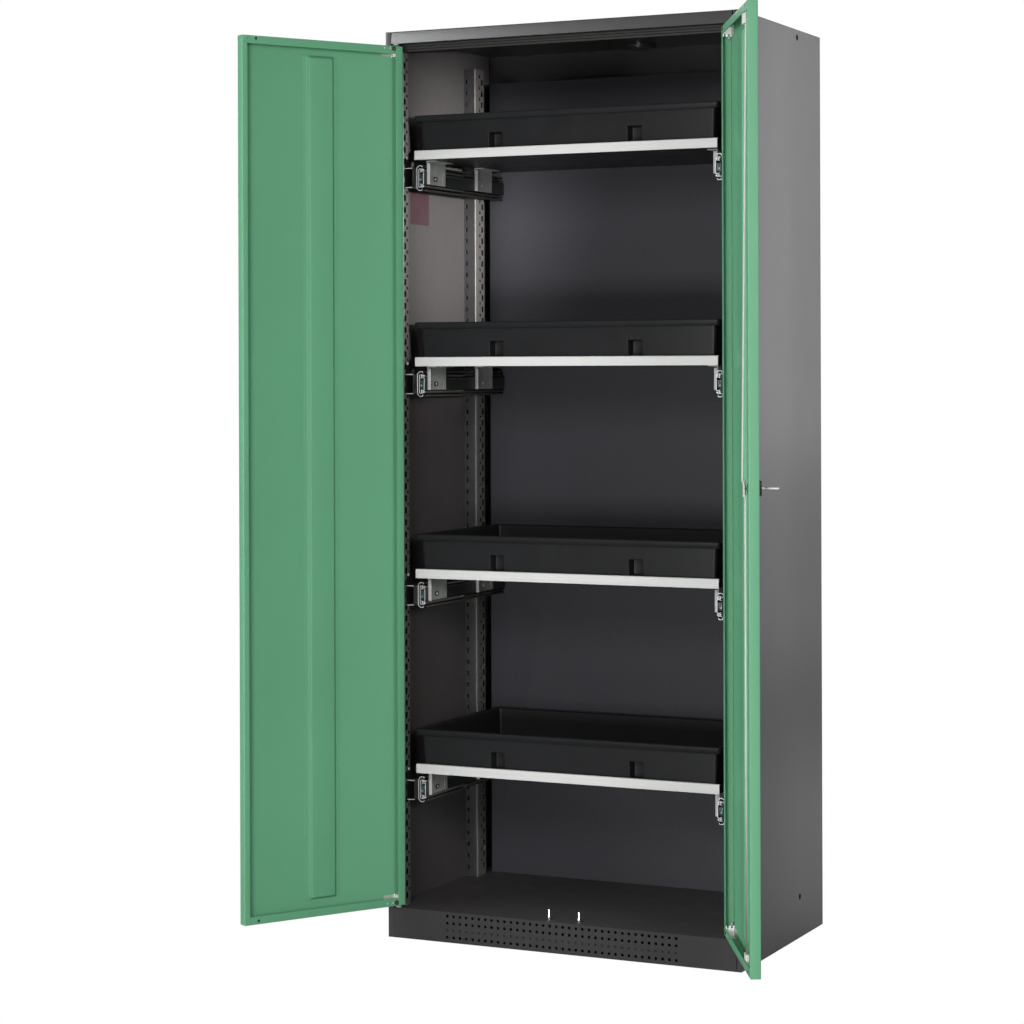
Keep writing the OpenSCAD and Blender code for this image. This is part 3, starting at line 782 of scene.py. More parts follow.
# =====================================================================
# body
# =====================================================================
def build_body():
    # side panels, bent round the front; the right one has the two fixing holes
    for s, name in ((-1, "side_panel_left"), (1, "side_panel_right")):
        p = Piece(name + "_sheet", ["body", "interior"])
        o = fold([(-404.4, 510), (-404.4, 0.6), (-393.6, 0.6), (-393.6, 20)], SH, 1.0, 4)
        vf = prism(o, XY, 0, HGT, 0.25)
        cuts = [lathe([(0, -3), (6.5, -3), (6.5, 3), (0, 3)], 40, lambda x, y, z, zz=zz: (-404.4 + z, at(358) + x, zz + y)) for zz in (88, 1933)]
        if s > 0:
            vf = mirror_x(vf)
            cuts = [mirror_x(c) for c in cuts]
        p.add(vf)
        if s > 0:
            for c in cuts:
                p.cut(c)
        o = p.done("cabinet", name)
        # the inner faces take the lighter interior copy of the paint: painted light
        for f in o.data.polygons:
            if abs(f.center.x) < 0.40385 and f.normal.x * s < -0.7 and f.center.y > -0.2538:
                f.material_index = 1
    # back
    p = Piece("back_panel_sheet", ["body"])
    p.add(plate([(-HI, 0), (HI, 0), (HI, HGT), (-HI, HGT)], [], lambda x, z, s: (x, at(s), z), DEP - SH, DEP, 0.3))
    p.done("cabinet", "back_panel")
    # top with fascia
    p = Piece("top_panel_sheet", ["body", "body_top"])
    o = fold([(0.6, TOPZ), (0.6, HGT - 0.6), (DEP - SH, HGT - 0.6)], SH, 1.2, 4)
    p.add(prism(o, TZ, -391.0, 391.0, 0.3))
    p.both(prism([(SH, HGT - SH), (DEP - SH, HGT - SH), (DEP - SH, HGT), (SH, HGT)], TZ, 390.8, HI, 0.0))
    p.cut(lathe([(0, HGT - 8), (36.3, HGT - 8), (36.3, HGT + 8), (0, HGT + 8)], 64, lambda x, y, z: (x, at(455) + y, z)))
    o = p.done("cabinet", "top_panel")
    # upward faces take the darker copy: painted shade on the top
    for f in o.data.polygons:
        if f.normal.z > 0.9:
            f.material_index = 1
    # stepped rail
    p = Piece("door_stop_rail_sheet", ["rail"])
    pts = [(SH, 1924.6), (25.1, 1924.6), (25.1, 1920.1), (33.1, 1920.1), (33.1, 1915.6), (41.1, 1915.6), (41.1, 1911.1), (49.1, 1911.1), (49.1, 1948.8)]
    p.add(prism(fold(pts, SH, 0.6, 3), TZ, -391.6, 391.6, 0.2))
    p.cut(rbox(68, 82, at(9.5), at(18), 1920, 1930, 0.5))
    p.done("cabinet", "door_stop_rail")
    # floor
    p = Piece("floor_panel_sheet", ["interior"])
    outer = [(-HI, SH), (-394.3, SH), (-394.3, 20.1), (-392.9, 20.1), (-392.9, SH), (392.9, SH), (392.9, 20.1), (394.3, 20.1), (394.3, SH), (HI, SH), (HI, DEP - SH), (-HI, DEP - SH)]
    p.add(plate(outer, [rrect(88, 102, 11, 20, 1.5)], XY, PLZ - SH, PLZ, 0.1))
    p.done("cabinet", "floor_panel")
    # plinth
    p = Piece("plinth_front_sheet", ["body"])
    holes = [circle((i - 17.5) * 15, 11.2 + j * 15, 3.0, 20) for i in range(36) for j in range(4)]
    p.add(plate([(-FX, 0), (FX, 0), (FX, PLZ), (-FX, PLZ)], holes, lambda x, z, s: (x, at(s), z), 0, SH, 0.3))
    p.done("cabinet", "plinth_front")
    # inner back wall, in its own lighter, bluish copy of the paint: painted light
    p = Piece("rear_duct_panel_sheet", ["rear"])
    o = fold([(-373.4, 508.8), (-373.4, 448.6), (373.4, 448.6), (373.4, 508.8)], SH, 1.0, 3)
    p.add(prism(o, XY, PLZ, 1880, 0.2))
    for zs in DRAWER_Z:
        for x in range(-270, 271, 90):
            p.cut(prism(rrect(x - 30, x + 30, zs + 20, zs + 27, 3.4, 4), lambda a, b, s: (a, at(s), b), 445, 452, 0))
    p.done("cabinet", "rear_duct_panel")
    # uprights; the face takes a lighter copy of the paint and the forward-facing legs a darker one: painted light and
    # painted shade
    p = Piece("uprights_sheet", ["upright", "upright_leg"])
    n = int((1908 - PLZ - 20) // 26)
    for t0, t1, tl, ts in ((25, 47, 30.5, 40), (376, 422, 410, 398)):
        o = fold([(-HI, t0 + 0.75), (-375.05, t0 + 0.75), (-375.05, t1 - 0.75), (-HI, t1 - 0.75)], 1.5, 1.0 if t0 < 200 else 1.8, 4)
        p.both(prism(o, XY, PLZ, 1908, 0.2))
        if t0 > 200:
            for i in range(n):
                c = prism(rrect(-399.8, -395.4, PLZ + 16 + i * 26, PLZ + 26 + i * 26, 1.4, 2), lambda a, b, q: (a, at(q), b), t0 - 1, t0 + 3, 0)
                p.cut(c)
                p.cut(mirror_x(c))
        for i in range(n):
            for w, z, h in ((4.5, 14, 14), (3.5, 30, 8)):
                tc = tl if w == 4.5 else ts
                r = rrect(tc - w, tc + w, PLZ + z + i * 26, PLZ + z + i * 26 + h, 1.6, 2)
                c = prism(r, lambda a, b, s: (s, at(a), b), -378, -372, 0)
                p.cut(c)
                p.cut(mirror_x(c))
    o = p.done("cabinet", "uprights")
    # forward-facing faces take the darker copy: painted shade
    for f in o.data.polygons:
        if f.normal.y < -0.9 and f.area > 2e-6:
            f.material_index = 1
    # collar: flange, tube with a rolled rim and a bead
    p = Piece("exhaust_collar_turned", ["zinc"])
    prof = [(36.3, 0), (46.1, 0), (46.5, 0.4), (46.5, 1.1), (46.1, 1.5), (39.0, 1.5), (37.9, 2.0), (37.5, 3.0),
            (37.5, 27.5), (37.1, 28.6), (36.9, 30), (37.1, 31.4), (37.5, 32.5), (37.5, 43.6), (37.3, 44.6), (36.9, 45),
            (36.5, 44.8), (36.3, 44.2), (36.3, 32.5), (35.9, 31.4), (35.7, 30), (35.9, 28.6), (36.3, 27.5), (36.3, 0)]
    p.add(lathe(prof, 96, lambda x, y, z: (x, at(455) + y, HGT + z)))
    for k in range(4):
        a = math.radians(45 + 90 * k)
        p.add(rivet((42 * math.cos(a), at(455) + 42 * math.sin(a), HGT + 1.4), (0, 0, 1), 2.2, 1.0))
    p.done("cabinet", "exhaust_collar")
    # stop pins
    p = Piece("stop_pins_turned", ["chrome"])
    for x in (-34.5, 34.5):
        prof = [(0, -1), (2.5, -1), (2.5, 3.4), (4.9, 3.5), (5.4, 3.9), (5.5, 4.3), (5.4, 4.8), (4.9, 5.1), (2.6, 5.2), (2.5, 5.5),
                (2.5, 20.2), (2.3, 21.1), (1.8, 21.7), (1.0, 21.95), (0, 22)]
        p.add(lathe(prof, 28, lambda a, b, z, x=x: (x + a, at(24.5) + b, PLZ + z)))
    p.done("cabinet", "stop_pins")
    # hinge pins
    p = Piece("hinge_pins_turned", ["zinc"])
    for s in (-1, 1):
        for z0, d in ((PLZ, 1), (TOPZ, -1)):
            prof = [(0, 0), (5.7, 0), (6, 0.3), (6, 2.6), (5.6, 3), (2.75, 3), (2.75, 32.2), (2.3, 33), (0, 33)]
            p.add(lathe(prof, 28, lambda a, b, z, s=s, z0=z0, d=d: (s * PX + a, PV - HD + b, z0 + d * z)))
    p.done("cabinet", "hinge_pins")
    # plain plate on the wall
    p = Piece("label_plate_film", ["label"])
    p.add(prism(rrect(108, 200, 1542, 1668, 5, 5), lambda a, b, s: (s, at(a), b), -HI, -HI + 0.5, 0.15))
    p.done("cabinet", "label_plate")
    # base frame keeps its solid
    finish_node("base_frame", "black", 0.4)


def rivet(c, n, r, h, seg=14):
    """A domed head, sitting on a surface at c with normal n."""
    n = Vector(n).normalized()
    q = n.to_track_quat("Z", "Y")
    prof = [(0, -0.4), (r, -0.4), (r, h * 0.15), (r * 0.93, h * 0.5), (r * 0.72, h * 0.8), (r * 0.38, h * 0.96), (0, h)]
    return lathe(prof, seg, lambda x, y, z: tuple(Vector(c) + q @ Vector((x, y, z))))


def screw(c, n, r, h, cross=True, seg=24, depth=None):
    """A pan head with a cross recess."""
    n = Vector(n).normalized()
    q = n.to_track_quat("Z", "Y")
    depth = depth or h * 0.7

    def rec(k, rr):
        a = 2 * math.pi * k / seg
        f = max(abs(math.cos(a)), abs(math.sin(a)))
        arm = 1.0 if f > 0.92 else 0.42
        return rr * (arm if cross else 1.0)

    rows = []
    for rr, hh in ((r * 0.98, -0.3), (r, h * 0.2), (r * 0.94, h * 0.6), (r * 0.74, h * 0.9), (r * 0.62, h * 0.96)):
        rows.append([(rr * math.cos(2 * math.pi * k / seg), rr * math.sin(2 * math.pi * k / seg), hh) for k in range(seg)])
    for rr, hh in ((r * 0.52, h * 0.97), (r * 0.44, h * 0.97 - depth * 0.8), (r * 0.16, h * 0.97 - depth)):
        rows.append([(rec(k, rr) * math.cos(2 * math.pi * k / seg), rec(k, rr) * math.sin(2 * math.pi * k / seg), hh) for k in range(seg)])
    rows = [[tuple(Vector(c) + q @ Vector(p)) for p in row] for row in rows]
    return loft(rows)


def finish_node(node, mat, bevel=0.0, seg=2, angle=35):
    """A CAD node that stays: its material, and a small eased edge from modifiers."""
    o = NODES[node]
    o.data.materials.clear()
    o.data.materials.append(M[mat])
    if bevel:
        w = o.modifiers.new("weld", "WELD")
        w.merge_threshold = 0.00002
        b = o.modifiers.new("ease", "BEVEL")
        b.width = bevel * MM
        b.segments = seg
        b.limit_method = "ANGLE"
        b.angle_limit = math.radians(40)
        b.use_clamp_overlap = True
        b.harden_normals = False
    return o


# =====================================================================
# slides and drawers
# =====================================================================
OUTER = [(13.3, 23.3), (13.3, 26.75), (5.8, 26.75), (0.75, 21.7), (0.75, -21.7), (5.8, -26.75), (13.3, -26.75), (13.3, -23.3)]
MIDDLE = [(14.7, 17.1), (14.7, 19.8), (5.3, 19.8), (5.3, -19.8), (14.7, -19.8), (14.7, -17.1)]
INNER = [(8.9, 11.3), (8.9, 13.8), (16.8, 13.8), (16.8, -13.8), (8.9, -13.8), (8.9, -11.3)]


def member(pts, th, ri, zs, t0=SLIDE_T, t1=SLIDE_T + SLIDE_L):
    """Two shells for a slide member: its long faces and its bright sawn ends."""
    o = fold(pts, th, ri, 3, 0.2)
    pl = lambda x, z, s: (-SLIDE_X + x, at(s), zs + SLIDE_DZ + z)
    ins = inset(o, 0.15)
    rings = [[pl(*p, t0) for p in ins], [pl(*p, t0 + 0.15) for p in o], [pl(*p, t1 - 0.15) for p in o], [pl(*p, t1) for p in ins]]
    return loft(rings)


def add_member(p, pts, th, ri, zs, mat=0, end=1):
    vf = member(pts, th, ri, zs)
    n = len(vf[1])
    ring = (n - 2) // 3
    mats = [end] * ring + [mat] * ring + [end] * ring + [end, end]
    for q in (vf, mirror_x(vf)):
        base = len(p.v)
        p.v += [tuple(x) for x in q[0]]
        p.f += [tuple(i + base for i in f) for f in q[1]]
        p.m += mats


def build_slides():
    p = Piece("slide_outer_members_rolled", ["slide", "zinc_edge", "cage"])
    for zs in DRAWER_Z:
        add_member(p, OUTER, 1.5, 0.9, zs)
        for m in (-1, 1):
            p.both(rbox(-SLIDE_X + 13.7, -SLIDE_X + 14.3, at(60), at(432), zs + SLIDE_DZ + m * 25.3 - 1.5, zs + SLIDE_DZ + m * 25.3 + 1.5, 0.2), 2)
            k = 70.0
            while k < 426:
                p.both(rbox(-SLIDE_X + 14.1, -SLIDE_X + 14.5, at(k - 2.3), at(k + 2.3), zs + SLIDE_DZ + m * 25.3 - 1.4, zs + SLIDE_DZ + m * 25.3 + 1.4, 0.15, 1), 0)
                k += 9.4
    p.done("cabinet", "slide_outer_members")
    # spacer boxes between upright and slide, with hooks into the slots
    p = Piece("slide_spacers_folded", ["black", "zinc_edge"])
    for zs in DRAWER_Z:
        z0 = zs + SLIDE_DZ - 21.5
        for t in (28, 382):
            o = rrect(-374.3, -353.8, z0, z0 + 43, 2.2, 3)
            i = rrect(-372.5, -355.6, z0 + 1.8, z0 + 41.2, 1.0, 3)
            vf = tube(o, i, XZ, t, t + 40, 0.25)
            n = len(o)
            for q in (vf, mirror_x(vf)):
                base = len(p.v)
                p.v += [tuple(x) for x in q[0]]
                p.f += [tuple(k + base for k in f) for f in q[1]]
                # the sawn ends take the bright steel only near the top and bottom edges: painted highlight lines
                for j, face in enumerate(q[1]):
                    zc = sum(q[0][k][2] for k in face) / len(face)
                    p.m.append(1 if (j // n) in (1, 2, 3, 5, 6, 7) and (zc < z0 + 1.2 or zc > z0 + 41.8) else 0)
            # hook plate on the upright
            hk = rbox(-374.3, -372.8, at(t + 3), at(t + 30), z0 + 30, z0 + 66, 0.4)
            p.both(hk, 0)
            p.both(rbox(-373.6, -372.2, at(t + 0.4), at(t + 3.2), z0 + 33, z0 + 56, 0.3), 0)
    p.done("cabinet", "slide_spacers")
    p = Piece("upright_screws_turned", ["zinc_edge"])
    for zs in DRAWER_Z:
        for t in (36, 388):
            p.both(screw((-372.8, at(t), zs - 14), (1, 0, 0), 3.3, 2.0))
    p.done("cabinet", "upright_screws")


# tray ---------------------------------------------------------------
POCKET_W, POCKET_H = 15.5, 33.0


def pocket_depth(s):
    if s <= -1.5:
        return 0.0
    if s <= 0:
        return 1.5 - math.sqrt(max(0, 1.5 ** 2 - (s + 1.5) ** 2))
    if s <= 0.1:
        return 1.5 + 23.5 * s / 0.1
    if s <= 2.1:
        return 25 + math.sqrt(max(0, 4 - (2.1 - s) ** 2))
    return 27.0


OFFS = (-1.5, -1.0, -0.4, 0.0, 0.1, 0.5, 1.2, 2.1)


def tray_ring(n, z, zs, grow=None):
    """One level of the tray: n is the distance out from the wall's upper edge line."""
    X, t0, t1 = 341.0 + n, 34.0 - n, 420.0 + n
    r = max(7 + (0.1 * n if n > 0 else 0.35 * n), 3.0)
    pts = []

    def arc(cx, cy, a0):
        for k in range(7):
            a = math.radians(a0 + 15 * k)
            pts.append((cx + r * math.cos(a), cy + r * math.sin(a)))

    arc(X - r, t1 - r, 0)
    arc(-X + r, t1 - r, 90)
    arc(-X + r, t0 + r, 180)
    xs = set()
    for xc in (-160, 160):
        xs.add(xc)
        for g in (0.0, 3.0):
            for o in OFFS:
                xs.add(round(xc - (POCKET_W + g - o), 3))
                xs.add(round(xc + (POCKET_W + g - o), 3))
    for x in sorted(xs):
        t = t0
        if grow is not None:
            dx = min(abs(x + 160), abs(x - 160))
            d = min(pocket_depth(POCKET_W + grow - dx), pocket_depth(zs + POCKET_H + grow - z))
            t = t0 + d * (64.0 + grow - t0) / 27.0
        pts.append((x, t))
    arc(X - r, t0 + r, 270)
    return [(x, at(t), z) for x, t in pts]


def tray(zs):
    z0, z1 = zs - 18.5, zs + 75.0
    H = z1 - z0
    rings = []

    def wall(z, th):
        return -th - 6.0 * (z1 - z) / H

    R = 4.0
    for k in range(5):                       # outer foot
        a = math.radians(22.5 * k)
        rings.append(tray_ring(wall(z0 + R, 0) - R * (1 - math.sin(a)), z0 + R * (1 - math.cos(a)), zs, 0.0))
    roof = zs + POCKET_H
    for z in [z0 + 16, z0 + 30] + [roof - o for o in OFFS[::-1]] + [roof + 8, z1 - 16, z1 - 4.8]:
        rings.append(tray_ring(wall(z, 0), z, zs, 0.0))
    rim = [(0.7, z1 - 3.4), (1.8, z1 - 2.9), (5.6, z1 - 2.9), (6.7, z1 - 3.3), (7.0, z1 - 4.2), (5.2, z1 - 12.9), (5.5, z1 - 13.5),
           (7.4, z1 - 13.5), (7.95, z1 - 13.0), (9.95, z1 - 3.0), (9.75, z1 - 1.5), (9.0, z1 - 0.45), (7.8, z1), (0.4, z1),
           (-0.9, z1 - 0.3), (-2.0, z1 - 1.0), (-2.8, z1 - 2.1), (-3.1, z1 - 3.6)]
    for n, z in rim:
        rings.append(tray_ring(n, z, zs, None))
    roof2 = zs + POCKET_H + 3
    zb = z0 + 3.0
    R2 = 7.0
    for z in [z1 - 14, roof2 + 8] + [roof2 - o for o in OFFS] + [z0 + 30, z0 + 18]:
        rings.append(tray_ring(wall(z, 3), z, zs, 3.0))
    for k in range(6):
        a = math.radians(90 - 18 * k)
        rings.append(tray_ring(wall(zb + R2, 3) - R2 * (1 - math.sin(a)), zb + R2 * (1 - math.cos(a)), zs, 3.0))
    return loft(rings)


def build_drawers():
    for i, zs in enumerate(DRAWER_Z):
        n = i + 1
        body = "drawer_%d" % n
        p = Piece("tray_%d_moulded" % n, ["tray"])
        p.add(tray(zs))
        p.done(body, "tray_%d" % n, angle=40)
        # front strip
        p = Piece("front_strip_%d_profile" % n, ["strip"])
        o = fold([(25.5, zs - 20), (25.5, zs - 1), (31.5, zs - 1)], 2.0, 0.5, 3, 0.5)
        p.add(prism(o, TZ, -348.5, 348.5, 0.3))
        p.done(body, "front_strip_%d" % n)
        # shelf pan
        p = Piece("shelf_%d_pan" % n, ["black"])
        z0 = zs - 20
        x, t0, t1 = 346.5, 26.5, 432.0
        rings = []
        for e, z in ((2.0, z0), (1.2, z0 + 0.2), (0.5, z0 + 0.8), (0.0, z0 + 2.0), (0.0, z0 + 16.7), (0.3, z0 + 17), (1.2, z0 + 17), (1.5, z0 + 16.7), (1.5, z0 + 2.4), (1.9, z0 + 1.7), (2.6, z0 + 1.5)):
            rings.append([(a, at(b), z) for a, b in rrect(-x + e, x - e, t0 + e, t1 - e, max(2.2 - e, 0.4), 3)])
        p.add(loft(rings))
        p.done(body, "shelf_%d" % n)
        # brackets
        p = Piece("shelf_brackets_%d_folded" % n, ["zinc", "zinc_edge", "nylon_black"])
        z1 = zs - 20
        for t in (57, 291):
            a = fold([(-327.3, t + 1), (-335.3, t + 1), (-335.3, t + 88)], 2.0, 1.2, 4, 0.3)
            va = prism(a, XY, z1 - 51, z1 - 5, 0.3)
            b = fold([(-335.3, z1 - 5), (-335.3, z1 - 1), (-314.3, z1 - 1)], 2.0, 1.2, 4, 0.3)
            vb = prism(b, XZ, t + 0.3, t + 88, 0.3)
            p.both(va).both(vb)
            hole = lathe([(0, -6), (4.5, -6), (4.5, 6), (0, 6)], 32, lambda x, y, z, t=t, z1=z1: (-335.3 + z, at(t + 38) + x, z1 - 38 + y))
            slot = prism(rrect(t + 70, t + 75, z1 - 44, z1 - 31, 2.4, 4), lambda u, v, s: (s, at(u), v), -338, -332, 0)
            p.cut(hole).cut(mirror_x(hole)).cut(slot).cut(mirror_x(slot))
        p.done(body, "shelf_brackets_%d" % n)
        # a black patch over the front hole, round the rivet on the face of the bracket: painted shade for the dark hole
        p = Piece("bracket_hole_shade_%d" % n, ["nylon_black"])
        hole_shade = prism(rrect(86, 104, z1 - 43, z1 - 33, 4.6, 6), lambda u, v, s: (s, at(u), v), -333.6, -332.9, 0.2)
        p.both(hole_shade)
        p.done(body, None)
        p = Piece("bracket_rivets_%d" % n, ["zinc_edge"])
        p.both(rivet((-332.9, at(95), z1 - 38), (1, 0, 0), 3.1, 1.5, 20))
        p.done(body, None)
        # inner members on the drawer
        p = Piece("slide_inner_%d_rolled" % n, ["slide", "zinc_edge", "cage"])
        add_member(p, INNER, 1.4, 0.9, zs)
        for t in (57, 291):
            p.both(screw((-336.5, at(t + 38), z1 - 38), (1, 0, 0), 2.9, 2.6), 1)
        k = 151.0
        while k < 288:
            p.both(rivet((-336.4, at(k), zs + SLIDE_DZ + 10.2), (1, 0, 0), 1.3, 0.5, 8), 2)
            k += 7.6
        p.done(body, "slide_inner_%d" % n)
        # middle members with cages and balls
        p = Piece("slide_middle_%d_rolled" % n, ["slide", "zinc_edge", "cage", "ball", "teal"])
        add_member(p, MIDDLE, 1.4, 1.0, zs)
        zc = zs + SLIDE_DZ
        for m in (-1, 1):
            for zz, x0, x1, ta, tb, r in ((16.7, 9.4, 14.6, 47, 243, 2.0), (23.2, 4.2, 12.2, 246, 400, 2.3)):
                xm = (x0 + x1) / 2 if zz < 20 else 9.6
                cg = rbox(-SLIDE_X + x0, -SLIDE_X + x1, at(ta), at(tb), zc + m * zz - 0.6, zc + m * zz + 0.6, 0.3)
                p.both(cg, 2)
                k = ta + 6
                while k < tb - 4:
                    p.both(ball(-SLIDE_X + xm, at(k), zc + m * zz, r), 3)
                    if zz < 20:
                        p.both(ball(-SLIDE_X + x1 + 0.4, at(k), zc + m * zz, 1.15, 8, 5), 3)
                    k += 9.2
            # the cage shows along the member's lip, with its ball pockets
            p.both(rbox(-SLIDE_X + 15.1, -SLIDE_X + 15.7, at(60), at(432), zc + m * 18.5 - 1.5, zc + m * 18.5 + 1.5, 0.2), 2)
            k = 66.0
            while k < 426:
                p.both(rbox(-SLIDE_X + 15.5, -SLIDE_X + 15.9, at(k - 2.3), at(k + 2.3), zc + m * 18.5 - 1.4, zc + m * 18.5 + 1.4, 0.15, 1), 0)
                k += 9.4
            # bone-shaped end of the cage
            for xe, rr in ((10.3, 1.7), (15.4, 1.9)):
                e = lathe([(0, 0), (rr, 0), (rr, 3.4), (0, 3.4)], 18, lambda x, y, z, xe=xe, m=m: (-SLIDE_X + xe + x, at(45.6 + z), zc + m * (16.9 if xe < 12 else 17.6) + y))
                p.both(e, 1)
        p.both(rbox(-SLIDE_X + 6.1, -SLIDE_X + 14.2, at(46), at(58), zc - 8.7, zc + 8.4, 0.9), 4)
        p.both(rivet((-SLIDE_X + 8.9, at(46.0), zc - 3.3), (0, -1, 0), 2.5, 1.3, 20), 3)
        p.done("middle_slides_%d" % n, "slide_middle_%d" % n)


# =====================================================================
# doors
# =====================================================================
def pan(right):
    """The folded door: skin, four returns and four lips, as one hollow shell."""
    w, T, z0, z1, s = DW, DT, DZ0, DZ1, SH
    ou0, ou1, oz0, oz1 = 18.0, w - 12.5, z0 + 17.0, z1 - 17.0
    bm = bmesh.new()
    V = {}

    def v(k, u, q, z):
        V[k] = bm.verts.new((u, q, z))

    for tag, e in (("o", 0.0), ("i", s)):
        for iu, u in enumerate((e, w - e)):
            for iq, q in enumerate((e, T - e)):
                for iz, z in enumerate((z0 + e, z1 - e)):
                    v((tag, iu, iq, iz), u, q, z)
    for tag, q in (("o", T), ("i", T - s)):
        for iu, u in enumerate((ou0, ou1)):
            for iz, z in enumerate((oz0, oz1)):
                v((tag + "h", iu, iz), u, q, z)

    def face(*ks):
        bm.faces.new([V[k] for k in ks])

    for t in ("o", "i"):
        face((t, 0, 0, 0), (t, 1, 0, 0), (t, 1, 0, 1), (t, 0, 0, 1))
        face((t, 0, 0, 0), (t, 0, 1, 0), (t, 0, 1, 1), (t, 0, 0, 1))
        face((t, 1, 0, 0), (t, 1, 1, 0), (t, 1, 1, 1), (t, 1, 0, 1))
        face((t, 0, 0, 0), (t, 1, 0, 0), (t, 1, 1, 0), (t, 0, 1, 0))
        face((t, 0, 0, 1), (t, 1, 0, 1), (t, 1, 1, 1), (t, 0, 1, 1))
        h = t + "h"
        face((t, 0, 1, 0), (t, 1, 1, 0), (h, 1, 0), (h, 0, 0))
        face((t, 0, 1, 1), (t, 1, 1, 1), (h, 1, 1), (h, 0, 1))
        face((t, 0, 1, 0), (t, 0, 1, 1), (h, 0, 1), (h, 0, 0))
        face((t, 1, 1, 0), (t, 1, 1, 1), (h, 1, 1), (h, 1, 0))
    for a, b in (((0, 0), (1, 0)), ((1, 0), (1, 1)), ((1, 1), (0, 1)), ((0, 1), (0, 0))):
        face(("oh", *a), ("oh", *b), ("ih", *b), ("ih", *a))
    bmesh.ops.recalc_face_normals(bm, faces=bm.faces)
    box_edges = {"o": [], "i": []}
    for e in bm.edges:
        a, b = e.verts
        ka = next(k for k, x in V.items() if x == a)
        kb = next(k for k, x in V.items() if x == b)
        if ka[0] == kb[0] and ka[0] in ("o", "i") and len(ka) == 4 and len(kb) == 4:
            box_edges[ka[0]].append(e)
    bmesh.ops.bevel(bm, geom=box_edges["o"], offset=2.0, segments=4, profile=0.5, affect="EDGES")
    inner = [e for e in bm.edges if e.is_valid and all(s - 0.01 < c.co.y < T - s + 0.01 for c in e.verts)
             and len(e.link_faces) == 2 and abs(e.calc_face_angle(0)) > 1.2 and not on_hole(e, ou0, ou1, oz0, oz1)]
    bmesh.ops.bevel(bm, geom=inner, offset=0.8, segments=3, profile=0.5, affect="EDGES")
    rim = [e for e in bm.edges if e.is_valid and on_hole(e, ou0, ou1, oz0, oz1) and len(e.link_faces) == 2 and abs(e.calc_face_angle(0)) > 1.2]
    bmesh.ops.bevel(bm, geom=rim, offset=0.3, segments=2, profile=0.5, affect="EDGES")
    bm.verts.index_update()
    out = [tuple(x.co) for x in bm.verts], [tuple(x.index for x in f.verts) for f in bm.faces]
    bm.free()
    return out


def on_hole(e, u0, u1, z0, z1):
    def near(p):
        return (abs(p.x - u0) < 0.4 or abs(p.x - u1) < 0.4 or abs(p.z - z0) < 0.4 or abs(p.z - z1) < 0.4) and \
            u0 - 0.4 < p.x < u1 + 0.4 and z0 - 0.4 < p.z < z1 + 0.4 and p.y > DT - SH - 0.4
    return all(near(v.co) for v in e.verts)


def cyl_v(u, z, v0, v1, r, n=32):
    return lathe([(0, v0), (r, v0), (r, v1), (0, v1)], n, lambda x, y, q: (u + x, q, z + y))


def cyl_z(u, v, z0, z1, r, n=32):
    return lathe([(0, z0), (r, z0), (r, z1), (0, z1)], n, lambda x, y, q: (u + x, v + y, q))


